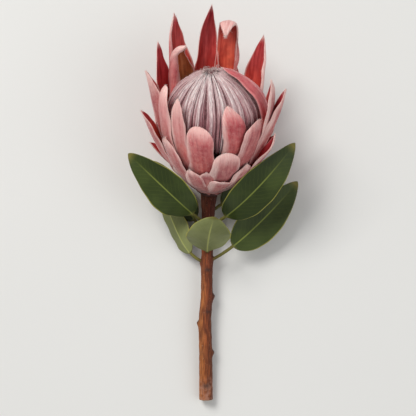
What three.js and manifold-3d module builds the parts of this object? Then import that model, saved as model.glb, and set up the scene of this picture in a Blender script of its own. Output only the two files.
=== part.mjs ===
import * as THREE from "three";
import { mergeVertices } from "three/addons/utils/BufferGeometryUtils.js";
import Module from "manifold-3d";

// A cut king protea, lying on its back on a surface: a woody stem, leathery leaves on long stalks,
// and one flower head, a cup of pink bracts round a pale dome of florets.
// Millimetres. The flower is modelled with +X to its right, +Y up its stem and +Z out of its face,
// and is then laid down. The origin ends up at the middle of its box, on the surface.

// ---- Driving dimensions ----
const STEM_LENGTH = 195; // cut end to the foot of the head
const HEAD_TILT = 27; // degrees that the neck bends towards the flower's face
const HEAD_LEAN = 4; // degrees that the head leans to its right
const DOME_RADIUS = 44;
const DOME_CENTRE = 86; // up the head's axis, from its foot
const DOME_RISE = 36; // dome's widest ring to its top
const DOME_DROP = 46; // dome's widest ring to where its rounded underside would close
const CUP_FLOOR = 48; // top of the receptacle, which the florets stand on
const POLE_SHIFT = 12; // degrees that the florets' meeting point sits left of the dome's top
const GAP = 0.3; // clearance between neighbouring pieces
const BRACT_THICKNESS = 1.3;
const LEAF_THICKNESS = 1.4;
const LIE_PITCH = 3.44; // degrees that the stem rises towards the head as the flower lies
const LIE_ROLL = -0.3; // degrees that the flower rolls about its stem as it lies

// ---- Colours ----
const COLOURS = {
  stem: new THREE.MeshStandardMaterial({ color: 0x7a3b2a, roughness: 0.8, metalness: 0 }),
  leaf: new THREE.MeshStandardMaterial({ color: 0x4f6339, roughness: 0.5, metalness: 0 }),
  bract: new THREE.MeshStandardMaterial({ color: 0xd98a8e, roughness: 0.7, metalness: 0 }),
  floret: new THREE.MeshStandardMaterial({ color: 0xd9c8cc, roughness: 0.8, metalness: 0 }),
};

// ---- Small helpers ----
const { lerp, clamp, smoothstep, degToRad } = THREE.MathUtils;
const UP = new THREE.Vector3(0, 1, 0);

// Repeatable draws in 0..1, one stream per seed.
function draws(seed) {
  let state = seed;
  return () => {
    state = (state * 16807) % 2147483647;
    return state / 2147483647;
  };
}

const wasm = await Module();
wasm.setup();

function toSolid(geometry) {
  const bare = geometry.clone();
  bare.deleteAttribute("normal");
  bare.deleteAttribute("uv");
  const merged = mergeVertices(bare, 1e-4);
  return new wasm.Manifold(new wasm.Mesh({
    numProp: 3,
    vertProperties: new Float32Array(merged.getAttribute("position").array),
    triVerts: new Uint32Array(merged.index.array),
  }));
}

function toGeometry(solid) {
  const mesh = solid.getMesh();
  const geometry = new THREE.BufferGeometry();
  geometry.setAttribute("position", new THREE.BufferAttribute(mesh.vertProperties, 3));
  geometry.setIndex(new THREE.BufferAttribute(mesh.triVerts, 1));
  const flat = geometry.toNonIndexed();
  flat.computeVertexNormals();
  return flat;
}

function fromTriangles(points, triangles) {
  const geometry = new THREE.BufferGeometry();
  geometry.setFromPoints(points);
  geometry.setIndex(triangles.flat());
  return geometry;
}

// Closed body through rings of equal point counts, each ring running anticlockwise
// as seen from the far end, with a fan over both ends.
function tube(rings) {
  const count = rings[0].length;
  const points = rings.flat();
  const triangles = [];
  for (let i = 0; i + 1 < rings.length; i += 1) {
    for (let j = 0; j < count; j += 1) {
      const a = i * count + j;
      const b = i * count + ((j + 1) % count);
      triangles.push([a, b, b + count], [a, b + count, a + count]);
    }
  }
  [0, rings.length - 1].forEach((i) => {
    const centre = new THREE.Vector3();
    rings[i].forEach((point) => centre.addScaledVector(point, 1 / count));
    points.push(centre);
    const hub = points.length - 1;
    for (let j = 0; j < count; j += 1) {
      const a = i * count + j;
      const b = i * count + ((j + 1) % count);
      triangles.push(i === 0 ? [hub, b, a] : [hub, a, b]);
    }
  });
  return fromTriangles(points, triangles);
}

// Closed blade from rows of paired points: front[i][j] and back[i][j] lie either side of the
// blade at row i, column j. Both faces are split along the same diagonals.
function blade(front, back) {
  const rows = front.length;
  const columns = front[0].length;
  const points = [...front.flat(), ...back.flat()];
  const f = (i, j) => i * columns + j;
  const b = (i, j) => rows * columns + i * columns + j;
  const triangles = [];
  const quad = (p, q, r, s) => triangles.push([p, q, r], [p, r, s]);
  for (let i = 0; i + 1 < rows; i += 1) {
    for (let j = 0; j + 1 < columns; j += 1) {
      quad(f(i, j), f(i, j + 1), f(i + 1, j + 1), f(i + 1, j));
      triangles.push([b(i, j), b(i + 1, j + 1), b(i, j + 1)], [b(i, j), b(i + 1, j), b(i + 1, j + 1)]);
    }
    quad(f(i, 0), f(i + 1, 0), b(i + 1, 0), b(i, 0));
    quad(f(i + 1, columns - 1), f(i, columns - 1), b(i, columns - 1), b(i + 1, columns - 1));
  }
  for (let j = 0; j + 1 < columns; j += 1) {
    quad(f(0, j + 1), f(0, j), b(0, j), b(0, j + 1));
    quad(f(rows - 1, j), f(rows - 1, j + 1), b(rows - 1, j + 1), b(rows - 1, j));
  }
  return fromTriangles(points, triangles);
}

// ---- The stem ----
// Its centre line wanders a little, then the neck bends towards the face and meets the head square.
const headFoot = new THREE.Vector3(3, STEM_LENGTH, 10.5);
const headTurn = new THREE.Euler(degToRad(HEAD_TILT), 0, degToRad(-HEAD_LEAN));
const headAxis = UP.clone().applyEuler(headTurn);
const NECK_STRAIGHT = 8; // the neck's last stretch, in line with the head
const stemLine = new THREE.CatmullRomCurve3([
  new THREE.Vector3(0, 0, 0),
  new THREE.Vector3(-0.3, 45, 0.4),
  new THREE.Vector3(-0.9, 78, 0),
  new THREE.Vector3(0.5, 95, -0.4),
  new THREE.Vector3(0.9, 128, -0.3),
  new THREE.Vector3(1.3, 150, 0),
  new THREE.Vector3(1.9, 172, 2.4),
  headFoot.clone().addScaledVector(headAxis, -NECK_STRAIGHT),
  headFoot,
]);
const STEM_RADII = [[0, 6.4], [0.3, 6.1], [0.55, 5.5], [0.8, 5.4], [0.92, 6.4], [1, 8]];
// Knobs and old leaf scars: share of the length, degrees round from the face, height, half length.
const STEM_KNOBS = [
  [0.065, 5, 0.9, 4], [0.13, -150, 1.2, 4], [0.23, 88, 1.7, 3.5], [0.31, 170, 1.3, 4],
  [0.37, -86, 1.7, 3.5], [0.42, 30, 0.7, 3], [0.5, 90, 2.1, 3.5], [0.56, -160, 1.2, 4],
  [0.62, 12, 0.8, 3], [0.66, -90, 1.4, 4], [0.68, 88, 1.4, 4], [0.79, -70, 1.2, 4],
  [0.83, 80, 1.2, 4], [0.9, 150, 1.2, 4],
];
const KNOB_HALF_WIDTH = 32; // degrees
const STEM_SIDES = 10;
const STEM_RINGS = 38;

function stemRadius(share) {
  const after = STEM_RADII.findIndex(([at]) => at >= share);
  if (after <= 0) return STEM_RADII[0][1];
  const [s0, r0] = STEM_RADII[after - 1];
  const [s1, r1] = STEM_RADII[after];
  return lerp(r0, r1, (share - s0) / (s1 - s0));
}

function knobHeight(share, degrees) {
  const length = stemLine.getLength();
  return STEM_KNOBS.reduce((sum, [at, around, height, half]) => {
    const along = ((share - at) * length) / half;
    const turn = THREE.MathUtils.euclideanModulo(degrees - around + 180, 360) - 180;
    return sum + height * Math.exp(-(along * along) - (turn / KNOB_HALF_WIDTH) ** 2);
  }, 0);
}

// A ring round the stem at a share of its length; degrees run from the face to the right.
function stemRing(share, grow) {
  const centre = stemLine.getPointAt(share);
  const along = stemLine.getTangentAt(share);
  const right = new THREE.Vector3().crossVectors(along, new THREE.Vector3(0, 0, 1)).normalize();
  const face = new THREE.Vector3().crossVectors(right, along);
  return Array.from({ length: STEM_SIDES }, (_, k) => {
    const degrees = (k * 360) / STEM_SIDES;
    const radius = stemRadius(share) + knobHeight(share, degrees) + grow;
    return centre.clone()
      .addScaledVector(face, radius * Math.cos(degToRad(degrees)))
      .addScaledVector(right, radius * Math.sin(degToRad(degrees)));
  });
}

function stemBody(grow) {
  return tube(Array.from({ length: STEM_RINGS + 1 }, (_, i) => stemRing(i / STEM_RINGS, grow)));
}

// ---- The leaves ----
// Each runs along a Bezier curve from the stem's centre to its tip. stalk is the share of the
// curve that is bare stalk, half is the blade's half width, and face is the way that the blade's
// upper side looks.
const LEAVES = [
  { line: [[0.8, 166, 1], [-8, 170, 18], [-32, 194, 44], [-71, 231, 34]],
    stalk: 0.32, half: 19.5, face: [-0.24, -0.3, 0.92], waves: 2.2 },
  { line: [[1.2, 164, 0], [12, 166, 16], [42, 188, 59.5], [81, 240, 44]],
    stalk: 0.34, half: 19, face: [0.24, -0.3, 0.92], waves: 2 },
  { line: [[1.2, 139, 0], [1, 143, 16], [2, 158, 40], [8, 173, 50]],
    stalk: 0.14, half: 21, face: [0, 0.85, -0.53], waves: 1.6 },
  { line: [[1, 129.6, 0], [-14, 132, 1], [-26, 146, 2], [-46, 212, -4]],
    stalk: 0.36, half: 14, face: [0.7, 0.2, -0.68], waves: 2 },
  { line: [[1.3, 131, 0], [14, 134, 2], [46, 158, 8], [86, 206, 8]],
    stalk: 0.4, half: 19, face: [0.1, -0.15, 0.98], waves: 2.4 },
  { line: [[2, 176, 3], [14, 184, -5], [32, 196, -10], [64, 224, -11]],
    stalk: 0.3, half: 14, face: [0.1, -0.1, 0.99], waves: 2 },
  { line: [[1.3, 155, 0], [-8, 164, -5], [-20, 184, -11], [-50, 226, -13]],
    stalk: 0.36, half: 14, face: [-0.1, -0.1, 0.99], waves: 2 },
];
const LEAF_ROWS = 13;
const LEAF_COLUMNS = [-1, -0.55, 0, 0.55, 1];
const STALK_HALF = 1.5;
const LEAF_FOLD = 0.16; // rise of the margins per millimetre of half width
const LEAF_WAVE = 1.5; // height of the margins' waves

// Half width of a leaf at a share of its curve: a slim stalk, then a long oval blade.
function leafHalf(leaf, share) {
  if (share <= leaf.stalk) return STALK_HALF;
  const t = (share - leaf.stalk) / (1 - leaf.stalk);
  return Math.max(STALK_HALF * (1 - t), leaf.half * Math.sin(Math.PI * t ** 0.86) ** 0.66, 0.7);
}

function leafBody(leaf, index) {
  const line = new THREE.CubicBezierCurve3(...leaf.line.map((p) => new THREE.Vector3(...p)));
  const look = new THREE.Vector3(...leaf.face);
  const front = [];
  const back = [];
  for (let i = 0; i <= LEAF_ROWS; i += 1) {
    const bare = 3; // rows along the stalk, before those of the blade
    const share = i < bare
      ? (leaf.stalk * i) / bare
      : lerp(leaf.stalk, 1, (1 - Math.cos((Math.PI * (i - bare)) / (LEAF_ROWS - bare))) / 2);
    const along = line.getTangent(share);
    const side = new THREE.Vector3().crossVectors(along, look).normalize();
    const normal = new THREE.Vector3().crossVectors(side, along);
    const half = leafHalf(leaf, share);
    const spread = clamp((half - STALK_HALF) / (leaf.half - STALK_HALF), 0, 1);
    const thick = lerp(STALK_HALF, LEAF_THICKNESS / 2, Math.min(1, spread * 3));
    const rows = LEAF_COLUMNS.map((across) => {
      const wave = Math.sin(2 * Math.PI * leaf.waves * share + index * 1.7 + (across > 0 ? 1.3 : 0));
      const lift = Math.abs(across) ** 1.5 * (LEAF_FOLD * (half - STALK_HALF) + spread * LEAF_WAVE * wave);
      const rib = thick * (spread > 0.2 ? 1 : Math.sqrt(1 - 0.6 * across * across));
      const middle = line.getPoint(share).addScaledVector(side, across * half).addScaledVector(normal, lift);
      return [middle.clone().addScaledVector(normal, rib), middle.clone().addScaledVector(normal, -rib)];
    });
    front.push(rows.map(([upper]) => upper));
    back.push(rows.map(([, lower]) => lower));
  }
  return blade(front, back);
}

// ---- The head: its own frame has its foot at the origin, +Y up its axis, +Z out of its face ----
// Degrees round the head run from the face to its right.

// The dome's radius at a height up the axis.
function domeRadius(height) {
  const rise = height - DOME_CENTRE;
  if (rise >= DOME_RISE || rise <= -DOME_DROP) return 0;
  if (rise > 0) return DOME_RADIUS * Math.sqrt(1 - (rise / DOME_RISE) ** 2);
  return DOME_RADIUS * (1 - (-rise / DOME_DROP) ** 2.6) ** (1 / 2.6);
}

// How far a point of the head lies outside the dome.
function domeDistance(radius, height) {
  if (height < DOME_CENTRE) return radius - domeRadius(Math.max(height, CUP_FLOOR));
  return (Math.hypot(radius / DOME_RADIUS, (height - DOME_CENTRE) / DOME_RISE) - 1) * DOME_RISE;
}

// The woody receptacle that the bracts grow from, height and radius.
const RECEPTACLE = [
  [GAP, 8], [4, 13], [13, 19], [25, 25], [36, 29], [44, 31], [CUP_FLOOR, 29],
];

function receptacleRadius(height) {
  const after = Math.max(1, RECEPTACLE.findIndex(([at]) => at >= height));
  const [h0, r0] = RECEPTACLE[after - 1];
  const [h1, r1] = RECEPTACLE[after];
  return lerp(r0, r1, (height - h0) / (h1 - h0));
}

function receptacleBody() {
  const sides = 16;
  const outline = RECEPTACLE.map(([height, radius]) => new THREE.Vector2(radius, height));
  const foot = new THREE.Vector2(0, RECEPTACLE[0][0]);
  return new THREE.LatheGeometry([foot, ...outline, new THREE.Vector2(0, CUP_FLOOR)], sides);
}

// The bracts, row by row from the foot upwards and inwards. Each row says how high it is rooted,
// and each bract: degrees round the head, tip's radius, tip's height, half width, degrees that
// the tip leans outwards, and how blunt it is (0 pointed, 1 round). Some have more to say: degrees
// that the tip swings round the head, that the blade twists its back towards the head's face, that
// its halves fold along the middle and that its tip hooks over, how far its root's curve reaches
// as a share of its span, and how far it is lifted off the dome.
const BRACT_ROWS = [
  { root: 5, bracts: [
    [-21, 42, 39, 8.5, 30, 0.3, { swing: -10, reach: 0.6 }],
    [-6, 39, 39, 9.5, 26, 0.3, { swing: -2, reach: 0.58 }],
    [16, 39, 29.5, 12, 58, 0.7, { reach: 0.64 }],
    [41, 46.5, 45.5, 10.5, 34, 0.3, { swing: 7, reach: 0.6, hook: 30 }],
    [92, 40, 34, 11, 40, 0.5], [136, 38, 32, 11, 42, 0.6], [178, 36, 32, 11, 40, 0.6],
    [-136, 40, 33, 11, 40, 0.5], [-92, 40, 33, 11, 38, 0.5], [-58, 37, 34, 9, 28, 0.5, { reach: 0.55 }],
  ] },
  { root: 10, bracts: [
    [15.5, 47.5, 61, 13.5, 2, 1, { reach: 0.3, hook: 24 }],
    [-48, 53, 67, 11.5, 8, 0.4, { swing: -8, reach: 0.4 }],
    [-98, 58, 45, 8, 50, 0.1, { twist: 34, fold: 30 }],
    [60, 65, 74, 8.5, 36, 0.1, { twist: 48, fold: 34, reach: 0.42, hook: 40 }],
    [92, 55, 62, 9, 36, 0.3], [124, 56, 56, 12, 28, 0.3], [180, 50, 54, 12, 22, 0.4],
    [-130, 56, 56, 12, 28, 0.3],
  ] },
  { root: 16, bracts: [
    [-13, 49.5, 85, 14, -3, 1, { reach: 0.26, hook: 30, swing: -6 }],
    [33, 42.5, 105, 12.8, -15, 0.5, { reach: 0.26, swing: -16, hook: 12 }],
    [-72, 70, 89, 11.5, 28, 0.1, { twist: 35, fold: 30 }],
    [110, 62, 84, 12, 14, 0.2], [152, 80, 68, 12, 52, 0.2], [-152, 82.6, 68, 12, 52, 0.2],
    [180, 56, 84, 13, 10, 0.3], [-112, 62, 84, 12, 14, 0.2],
  ] },
  { root: 22, bracts: [
    [46.5, 51.5, 90, 16.5, -3, 0.9, { reach: 0.28, swing: 6, hook: 20 }],
    [-40, 50.5, 106.5, 8.5, -8, 0.45, { reach: 0.28, swing: -2 }],
    [67, 66, 117, 11.5, 16, 0.1, { twist: 34, fold: 40 }],
    [136, 57, 100, 13, 4, 0.3], [166, 56, 102, 13, 4, 0.3], [-166, 56, 102, 13, 4, 0.3],
    [-138, 57, 100, 13, 4, 0.3], [-76, 65, 123, 12.5, 14, 0.3, { twist: 12, fold: 42 }],
  ] },
  { root: 28, bracts: [
    [-61, 56, 114, 11.5, -3, 0.8, { hook: 24 }], [61, 56, 126, 7.5, -4, 0.5, { hook: 10 }],
    [-114.5, 62, 135.5, 14, 10, 0.1], [134, 57, 144.5, 17, 7, 0.1], [103, 52, 108, 11, 2, 0.5],
  ] },
  { root: 34, bracts: [
    [-137, 61, 158.6, 18, 5, 0.1, { swing: 5 }], [-166, 55, 169, 14, 3, 0.1, { fold: 14, hook: 20 }],
    [160, 46, 138, 8, -3, 0.2, { twist: 140, lift: 5 }], [-88, 50, 98, 9, -4, 0.6],
  ] },
  { root: 40, bracts: [
    [-131, 50, 145, 20, -4, 0.35, { hook: 64 }], [169, 50, 179, 12, -6, 0.7, { hook: 150, lift: 0.4 }],
    [79, 3, 124, 11.5, -88, 0.2, { swing: -26, lift: 1.5 }],
  ] },
];
const BRACT_STEPS = 7;
const BRACT_COLUMNS = [-1, 0, 1];
const ROOT_SUNK = 4; // how far a bract's root reaches into the receptacle
const ROOT_ANGLE = 64; // degrees from the axis that a bract leaves the receptacle at
const ROOT_REACH = 0.44; // of the bract's span, the longest that its curve's first handle gets
const TIP_REACH = 0.36; // of the way back to the first handle, the second handle's length
const BELLY_OUTER = 54; // radius that the first handle of the outermost row reaches
const BELLY_STEP = 0.19; // how much less it reaches per millimetre up the receptacle
const DOME_STANDOFF = 2.5; // least distance from the dome to a bract's middle line
const TIP_WRAP = 20; // radius that a free tip is cupped to
const FREE_AT = 15; // distance from the dome at which a tip counts as free
const HOOK_FROM = 0.74; // share of a bract's length from which its tip hooks over

// The curve of a bract's middle line: x is the radius, y the height.
function bractCurve(rootHeight, tipRadius, tipHeight, lean, rootReach) {
  const root = new THREE.Vector2(receptacleRadius(rootHeight) - ROOT_SUNK, rootHeight);
  const tip = new THREE.Vector2(tipRadius, tipHeight);
  const way = (degrees) => new THREE.Vector2(Math.sin(degToRad(degrees)), Math.cos(degToRad(degrees)));
  const belly = BELLY_OUTER - BELLY_STEP * rootHeight;
  const reach = Math.min(root.distanceTo(tip) * rootReach, (belly - root.x) / Math.sin(degToRad(ROOT_ANGLE)));
  const out = root.clone().addScaledVector(way(ROOT_ANGLE), reach);
  const back = tip.clone().addScaledVector(way(lean), -tip.distanceTo(out) * TIP_REACH);
  return new THREE.CubicBezierCurve(root, out, back, tip);
}

// A bract's half width: narrow at its root, widest past the middle, then pointed or round.
function bractHalf(half, blunt, share) {
  const rooted = lerp(0.62, 1, smoothstep(share, 0, 0.5));
  const from = lerp(0.6, 0.8, blunt);
  const t = clamp((share - from) / (1 - from), 0, 1);
  return Math.max(half * rooted * (1 - t ** (1.2 + blunt)) ** (1 / (1 + blunt)), 0.6);
}

// The radius that a bract is cupped to: round the head's axis, and tighter where it stands free.
function bractWrap(radius, height) {
  const free = clamp(domeDistance(radius, height) / FREE_AT, 0, 1);
  const round = height < DOME_CENTRE ? radius : Math.max(radius, DOME_RADIUS);
  const wrap = lerp(round, TIP_WRAP, free * smoothstep(height, DOME_CENTRE - 30, DOME_CENTRE + 10));
  return Math.max(wrap, TIP_WRAP);
}

// Moves a point of a bract's middle line out to the least distance from the dome.
function keepClear(at, standoff) {
  const short = standoff - domeDistance(at.x, at.y);
  if (at.y < CUP_FLOOR - ROOT_SUNK || short <= 0) return;
  if (at.y < DOME_CENTRE) {
    at.x += short;
    return;
  }
  const grow = 1 + short / (standoff - short + DOME_RISE);
  at.set(at.x * grow, DOME_CENTRE + (at.y - DOME_CENTRE) * grow);
}

// A bract's middle line, kept clear of the dome and hooked over towards it at the tip.
function bractLine(curve, shares, hook, standoff) {
  const clear = shares.map((share) => {
    const at = curve.getPoint(share);
    keepClear(at, standoff);
    return at;
  });
  const line = [clear[0]];
  clear.slice(1).forEach((at, i) => {
    const bend = degToRad(hook) * smoothstep((shares[i] + shares[i + 1]) / 2, HOOK_FROM, 1);
    const step = at.clone().sub(clear[i]).rotateAround(new THREE.Vector2(), bend);
    line.push(line[i].clone().add(step));
  });
  return line;
}

function bractBody(rootHeight, [around, tipRadius, tipHeight, half, lean, blunt, own = {}]) {
  const { swing = 0, twist = 0, fold = 0, hook = 0, reach = ROOT_REACH, lift = 0 } = own;
  const curve = bractCurve(rootHeight, tipRadius, tipHeight, lean, reach);
  const shares = Array.from({ length: BRACT_STEPS + 1 }, (_, i) => 1 - (1 - i / BRACT_STEPS) ** 1.3);
  const line = bractLine(curve, shares, hook, DOME_STANDOFF + lift);
  const front = [];
  const back = [];
  line.forEach((at, i) => {
    const share = shares[i];
    const way = line[Math.min(i + 1, BRACT_STEPS)].clone().sub(line[Math.max(i - 1, 0)]).normalize();
    const inwards = new THREE.Vector2(-way.y, way.x);
    const turn = degToRad(around + swing * share * share);
    const out = new THREE.Vector3(Math.sin(turn), 0, Math.cos(turn));
    const side = new THREE.Vector3(Math.cos(turn), 0, -Math.sin(turn));
    const inner = out.clone().multiplyScalar(inwards.x).addScaledVector(UP, inwards.y);
    const along = out.clone().multiplyScalar(way.x).addScaledVector(UP, way.y);
    const turned = degToRad(twist) * Math.sign(around) * smoothstep(share, 0.2, 1);
    side.applyAxisAngle(along, turned);
    inner.applyAxisAngle(along, turned);
    const wrap = bractWrap(at.x, at.y);
    const width = bractHalf(half, blunt, share);
    const folded = degToRad(fold) * smoothstep(share, 0.2, 0.6);
    const rows = BRACT_COLUMNS.map((across) => {
      const bend = (across * width) / wrap;
      const chord = 2 * wrap * Math.sin(bend / 2);
      const tilt = bend / 2 + across * folded;
      const middle = out.clone().multiplyScalar(at.x).addScaledVector(UP, at.y)
        .addScaledVector(inner, chord * Math.sin(tilt))
        .addScaledVector(side, chord * Math.cos(tilt));
      const faced = bend + across * folded;
      const normal = inner.clone().multiplyScalar(-Math.cos(faced)).addScaledVector(side, Math.sin(faced));
      return [
        middle.clone().addScaledVector(normal, BRACT_THICKNESS / 2),
        middle.clone().addScaledVector(normal, -BRACT_THICKNESS / 2),
      ];
    });
    front.push(rows.map(([outer]) => outer));
    back.push(rows.map(([, inside]) => inside));
  });
  return blade(front, back);
}

// ---- The florets: a dome pleated into bundles that meet at its top, with curled tips there ----
const BUNDLES = 28;
const PLEAT_DEPTH = 3.5;
const FLORET_RINGS = [4, 12, 24, 38, 54, 70, 88, 106, 126, 146]; // degrees down from the top
const CURLED_TIPS = 16;

// A point of the dome: degrees down from the florets' meeting point, degrees round, depth inside.
function domePoint(down, around, depth) {
  const polar = degToRad(down);
  const turn = degToRad(around);
  const way = new THREE.Vector3(
    Math.sin(polar) * Math.sin(turn),
    Math.cos(polar),
    Math.sin(polar) * Math.cos(turn),
  );
  const shift = degToRad(POLE_SHIFT) * clamp(1 - down / 90, 0, 1);
  way.applyAxisAngle(new THREE.Vector3(0, 0, 1), shift);
  if (way.y >= 0) {
    return new THREE.Vector3(
      way.x * (DOME_RADIUS - depth),
      DOME_CENTRE + way.y * (DOME_RISE - depth),
      way.z * (DOME_RADIUS - depth),
    );
  }
  const height = Math.max(DOME_CENTRE + way.y * DOME_DROP, CUP_FLOOR + GAP);
  const radius = domeRadius(height) - depth;
  return new THREE.Vector3(radius * Math.sin(turn), height, radius * Math.cos(turn));
}

// Bundles of uneven width, each a little sunk, with creases of uneven depth between them.
function pleatedDome() {
  const widths = Array.from({ length: BUNDLES }, (_, k) => 1 + 0.6 * Math.sin(2.4 * k + 1));
  const pitch = 360 / widths.reduce((sum, width) => sum + width, 0);
  const rings = FLORET_RINGS.map((down) => {
    const fade = smoothstep(down, 8, 60);
    const ring = [];
    let edge = 0;
    widths.forEach((width, k) => {
      const crease = PLEAT_DEPTH * (0.8 + 0.45 * Math.sin(1.7 * k));
      const sink = 0.55 + 0.55 * Math.sin(3.1 * k + 2);
      ring.push(domePoint(down, edge, 0.4 + crease * fade));
      ring.push(domePoint(down, edge + (width / 2) * pitch, sink * fade));
      edge += width * pitch;
    });
    return ring;
  });
  return tube(rings.reverse());
}

// A thin three-sided strand that rises from the dome's top and curls over.
function curledTip(k, draw) {
  const around = (k * 360) / CURLED_TIPS + 20 * draw();
  const root = domePoint(3 + 12 * draw(), around, 2.5);
  const out = new THREE.Vector3(Math.sin(degToRad(around)), 0, Math.cos(degToRad(around)));
  const height = 5 + 5 * draw();
  const sweep = 2 + 5 * draw();
  const line = new THREE.QuadraticBezierCurve3(
    root,
    root.clone().addScaledVector(UP, height),
    root.clone().addScaledVector(UP, height * 0.8).addScaledVector(out, sweep),
  );
  const steps = 3;
  return tube(Array.from({ length: steps + 1 }, (_, i) => {
    const share = i / steps;
    const along = line.getTangent(share);
    const right = new THREE.Vector3(out.z, 0, -out.x);
    const face = new THREE.Vector3().crossVectors(right, along);
    const radius = lerp(1, 0.5, share);
    return [0, 120, 240].map((degrees) => line.getPoint(share)
      .addScaledVector(face, radius * Math.cos(degToRad(degrees)))
      .addScaledVector(right, radius * Math.sin(degToRad(degrees))));
  }));
}

// ---- Joining ----
function joined(geometries) {
  return geometries.map(toSolid).reduce((whole, piece) => whole.add(piece));
}

// The one body of a joined solid: sealed pockets between its blades are filled, scraps dropped.
function oneBody(solid) {
  return solid.decompose().reduce((best, piece) => (piece.volume() > best.volume() ? piece : best));
}

const bractBodies = BRACT_ROWS.flatMap(({ root, bracts }) => bracts.map((b) => bractBody(root, b)));
const bractsSolid = oneBody(joined([receptacleBody(), ...bractBodies]));
const tipDraw = draws(7);
const curledTips = Array.from({ length: CURLED_TIPS }, (_, k) => curledTip(k, tipDraw));
const floretsSolid = oneBody(joined([pleatedDome(), ...curledTips]));
const stemClear = toSolid(stemBody(GAP));

function named(name, geometry, material) {
  const mesh = new THREE.Mesh(geometry, material);
  mesh.name = name;
  return mesh;
}

const head = new THREE.Group();
head.position.copy(headFoot);
head.rotation.copy(headTurn);
head.add(named("bracts", toGeometry(bractsSolid), COLOURS.bract));
head.add(named("florets", toGeometry(floretsSolid), COLOURS.floret));

const flower = new THREE.Group();
flower.rotation.set(degToRad(LIE_PITCH), degToRad(LIE_ROLL), 0);
flower.add(named("stem", stemBody(0), COLOURS.stem), head);
LEAVES.forEach((leaf, index) => {
  const trimmed = oneBody(toSolid(leafBody(leaf, index)).subtract(stemClear));
  flower.add(named(`leaf_${index + 1}`, toGeometry(trimmed), COLOURS.leaf));
});

// Laid down: the middle of its box over the origin, its lowest points on the surface.
const group = new THREE.Group();
group.add(flower);
group.updateMatrixWorld(true);
const box = new THREE.Box3().setFromObject(group, true);
const middle = box.getCenter(new THREE.Vector3());
flower.position.set(-middle.x, -middle.y, -box.min.z);

export default group;
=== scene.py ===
# %% [markdown]
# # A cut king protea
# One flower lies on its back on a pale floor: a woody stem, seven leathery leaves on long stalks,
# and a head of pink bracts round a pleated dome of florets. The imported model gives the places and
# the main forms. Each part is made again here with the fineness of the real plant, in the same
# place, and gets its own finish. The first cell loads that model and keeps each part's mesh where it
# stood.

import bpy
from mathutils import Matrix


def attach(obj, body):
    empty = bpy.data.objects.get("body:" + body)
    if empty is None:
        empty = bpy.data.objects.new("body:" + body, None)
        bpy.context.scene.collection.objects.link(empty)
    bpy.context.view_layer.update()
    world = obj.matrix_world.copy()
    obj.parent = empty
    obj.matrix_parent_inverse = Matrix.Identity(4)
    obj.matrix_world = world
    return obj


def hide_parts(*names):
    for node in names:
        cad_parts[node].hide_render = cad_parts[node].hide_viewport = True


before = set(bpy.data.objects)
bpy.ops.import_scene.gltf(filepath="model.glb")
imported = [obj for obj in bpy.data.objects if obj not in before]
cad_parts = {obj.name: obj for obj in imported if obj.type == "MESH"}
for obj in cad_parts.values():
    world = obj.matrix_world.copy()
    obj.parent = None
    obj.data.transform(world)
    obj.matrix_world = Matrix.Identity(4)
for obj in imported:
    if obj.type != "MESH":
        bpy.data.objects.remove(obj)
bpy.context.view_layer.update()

# %% [markdown]
# ## Two frames
# Plants are easier to draw upright. Everything is worked out in millimetres in the flower's own
# frame, with +X to its right, +Y up the stem and +Z out of its face. The head has a frame of its
# own, because the neck bends forward: its foot is at the origin and +Y runs up its middle. Two small
# functions carry points from the head to the flower, and lay the flower down on the floor in metres.

# %% Frames
import math

import bpy
import numpy as np
from mathutils import Vector

MM = 0.001


def turn(axis, degrees):
    """Turning matrix about X, Y or Z."""
    a, b = {"X": (1, 2), "Y": (2, 0), "Z": (0, 1)}[axis]
    matrix = np.eye(3)
    angle = math.radians(degrees)
    matrix[a, a] = matrix[b, b] = math.cos(angle)
    matrix[b, a] = math.sin(angle)
    matrix[a, b] = -math.sin(angle)
    return matrix


HEAD_FOOT = np.array([3, 195, 10.5])
HEAD_TURN = turn("X", 27) @ turn("Z", -4)  # the neck's bend, and the head's lean to its right
LAID_TURN = turn("X", 3.44) @ turn("Y", -0.3)  # how the flower rests on its two splayed bracts
LAID_SHIFT = np.array([-7.3965, -181.7746, 6.4037])


def from_head(points):
    return points @ HEAD_TURN.T + HEAD_FOOT


def laid(points):
    return (points @ LAID_TURN.T + LAID_SHIFT) * MM


print("The head's foot lies at", laid(HEAD_FOOT).round(4))

# %% [markdown]
# ## One way to make every tube and blade
# A stem, a leaf, a bract and a floret are all one thing to a modeller: rings of points, one after
# the other. A grid primitive gives the faces once. Each tube is a copy of it, bent through its
# rings, then the seam and the closed ends are merged and the faces turned outwards. Two attributes
# go with the points: `grain_at` says where a point is on the blade in millimetres, and `share` holds
# three values in 0..1 that its finish needs.

# %% Rolled tubes
MERGE_WITHIN = 1e-6  # metres


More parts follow.
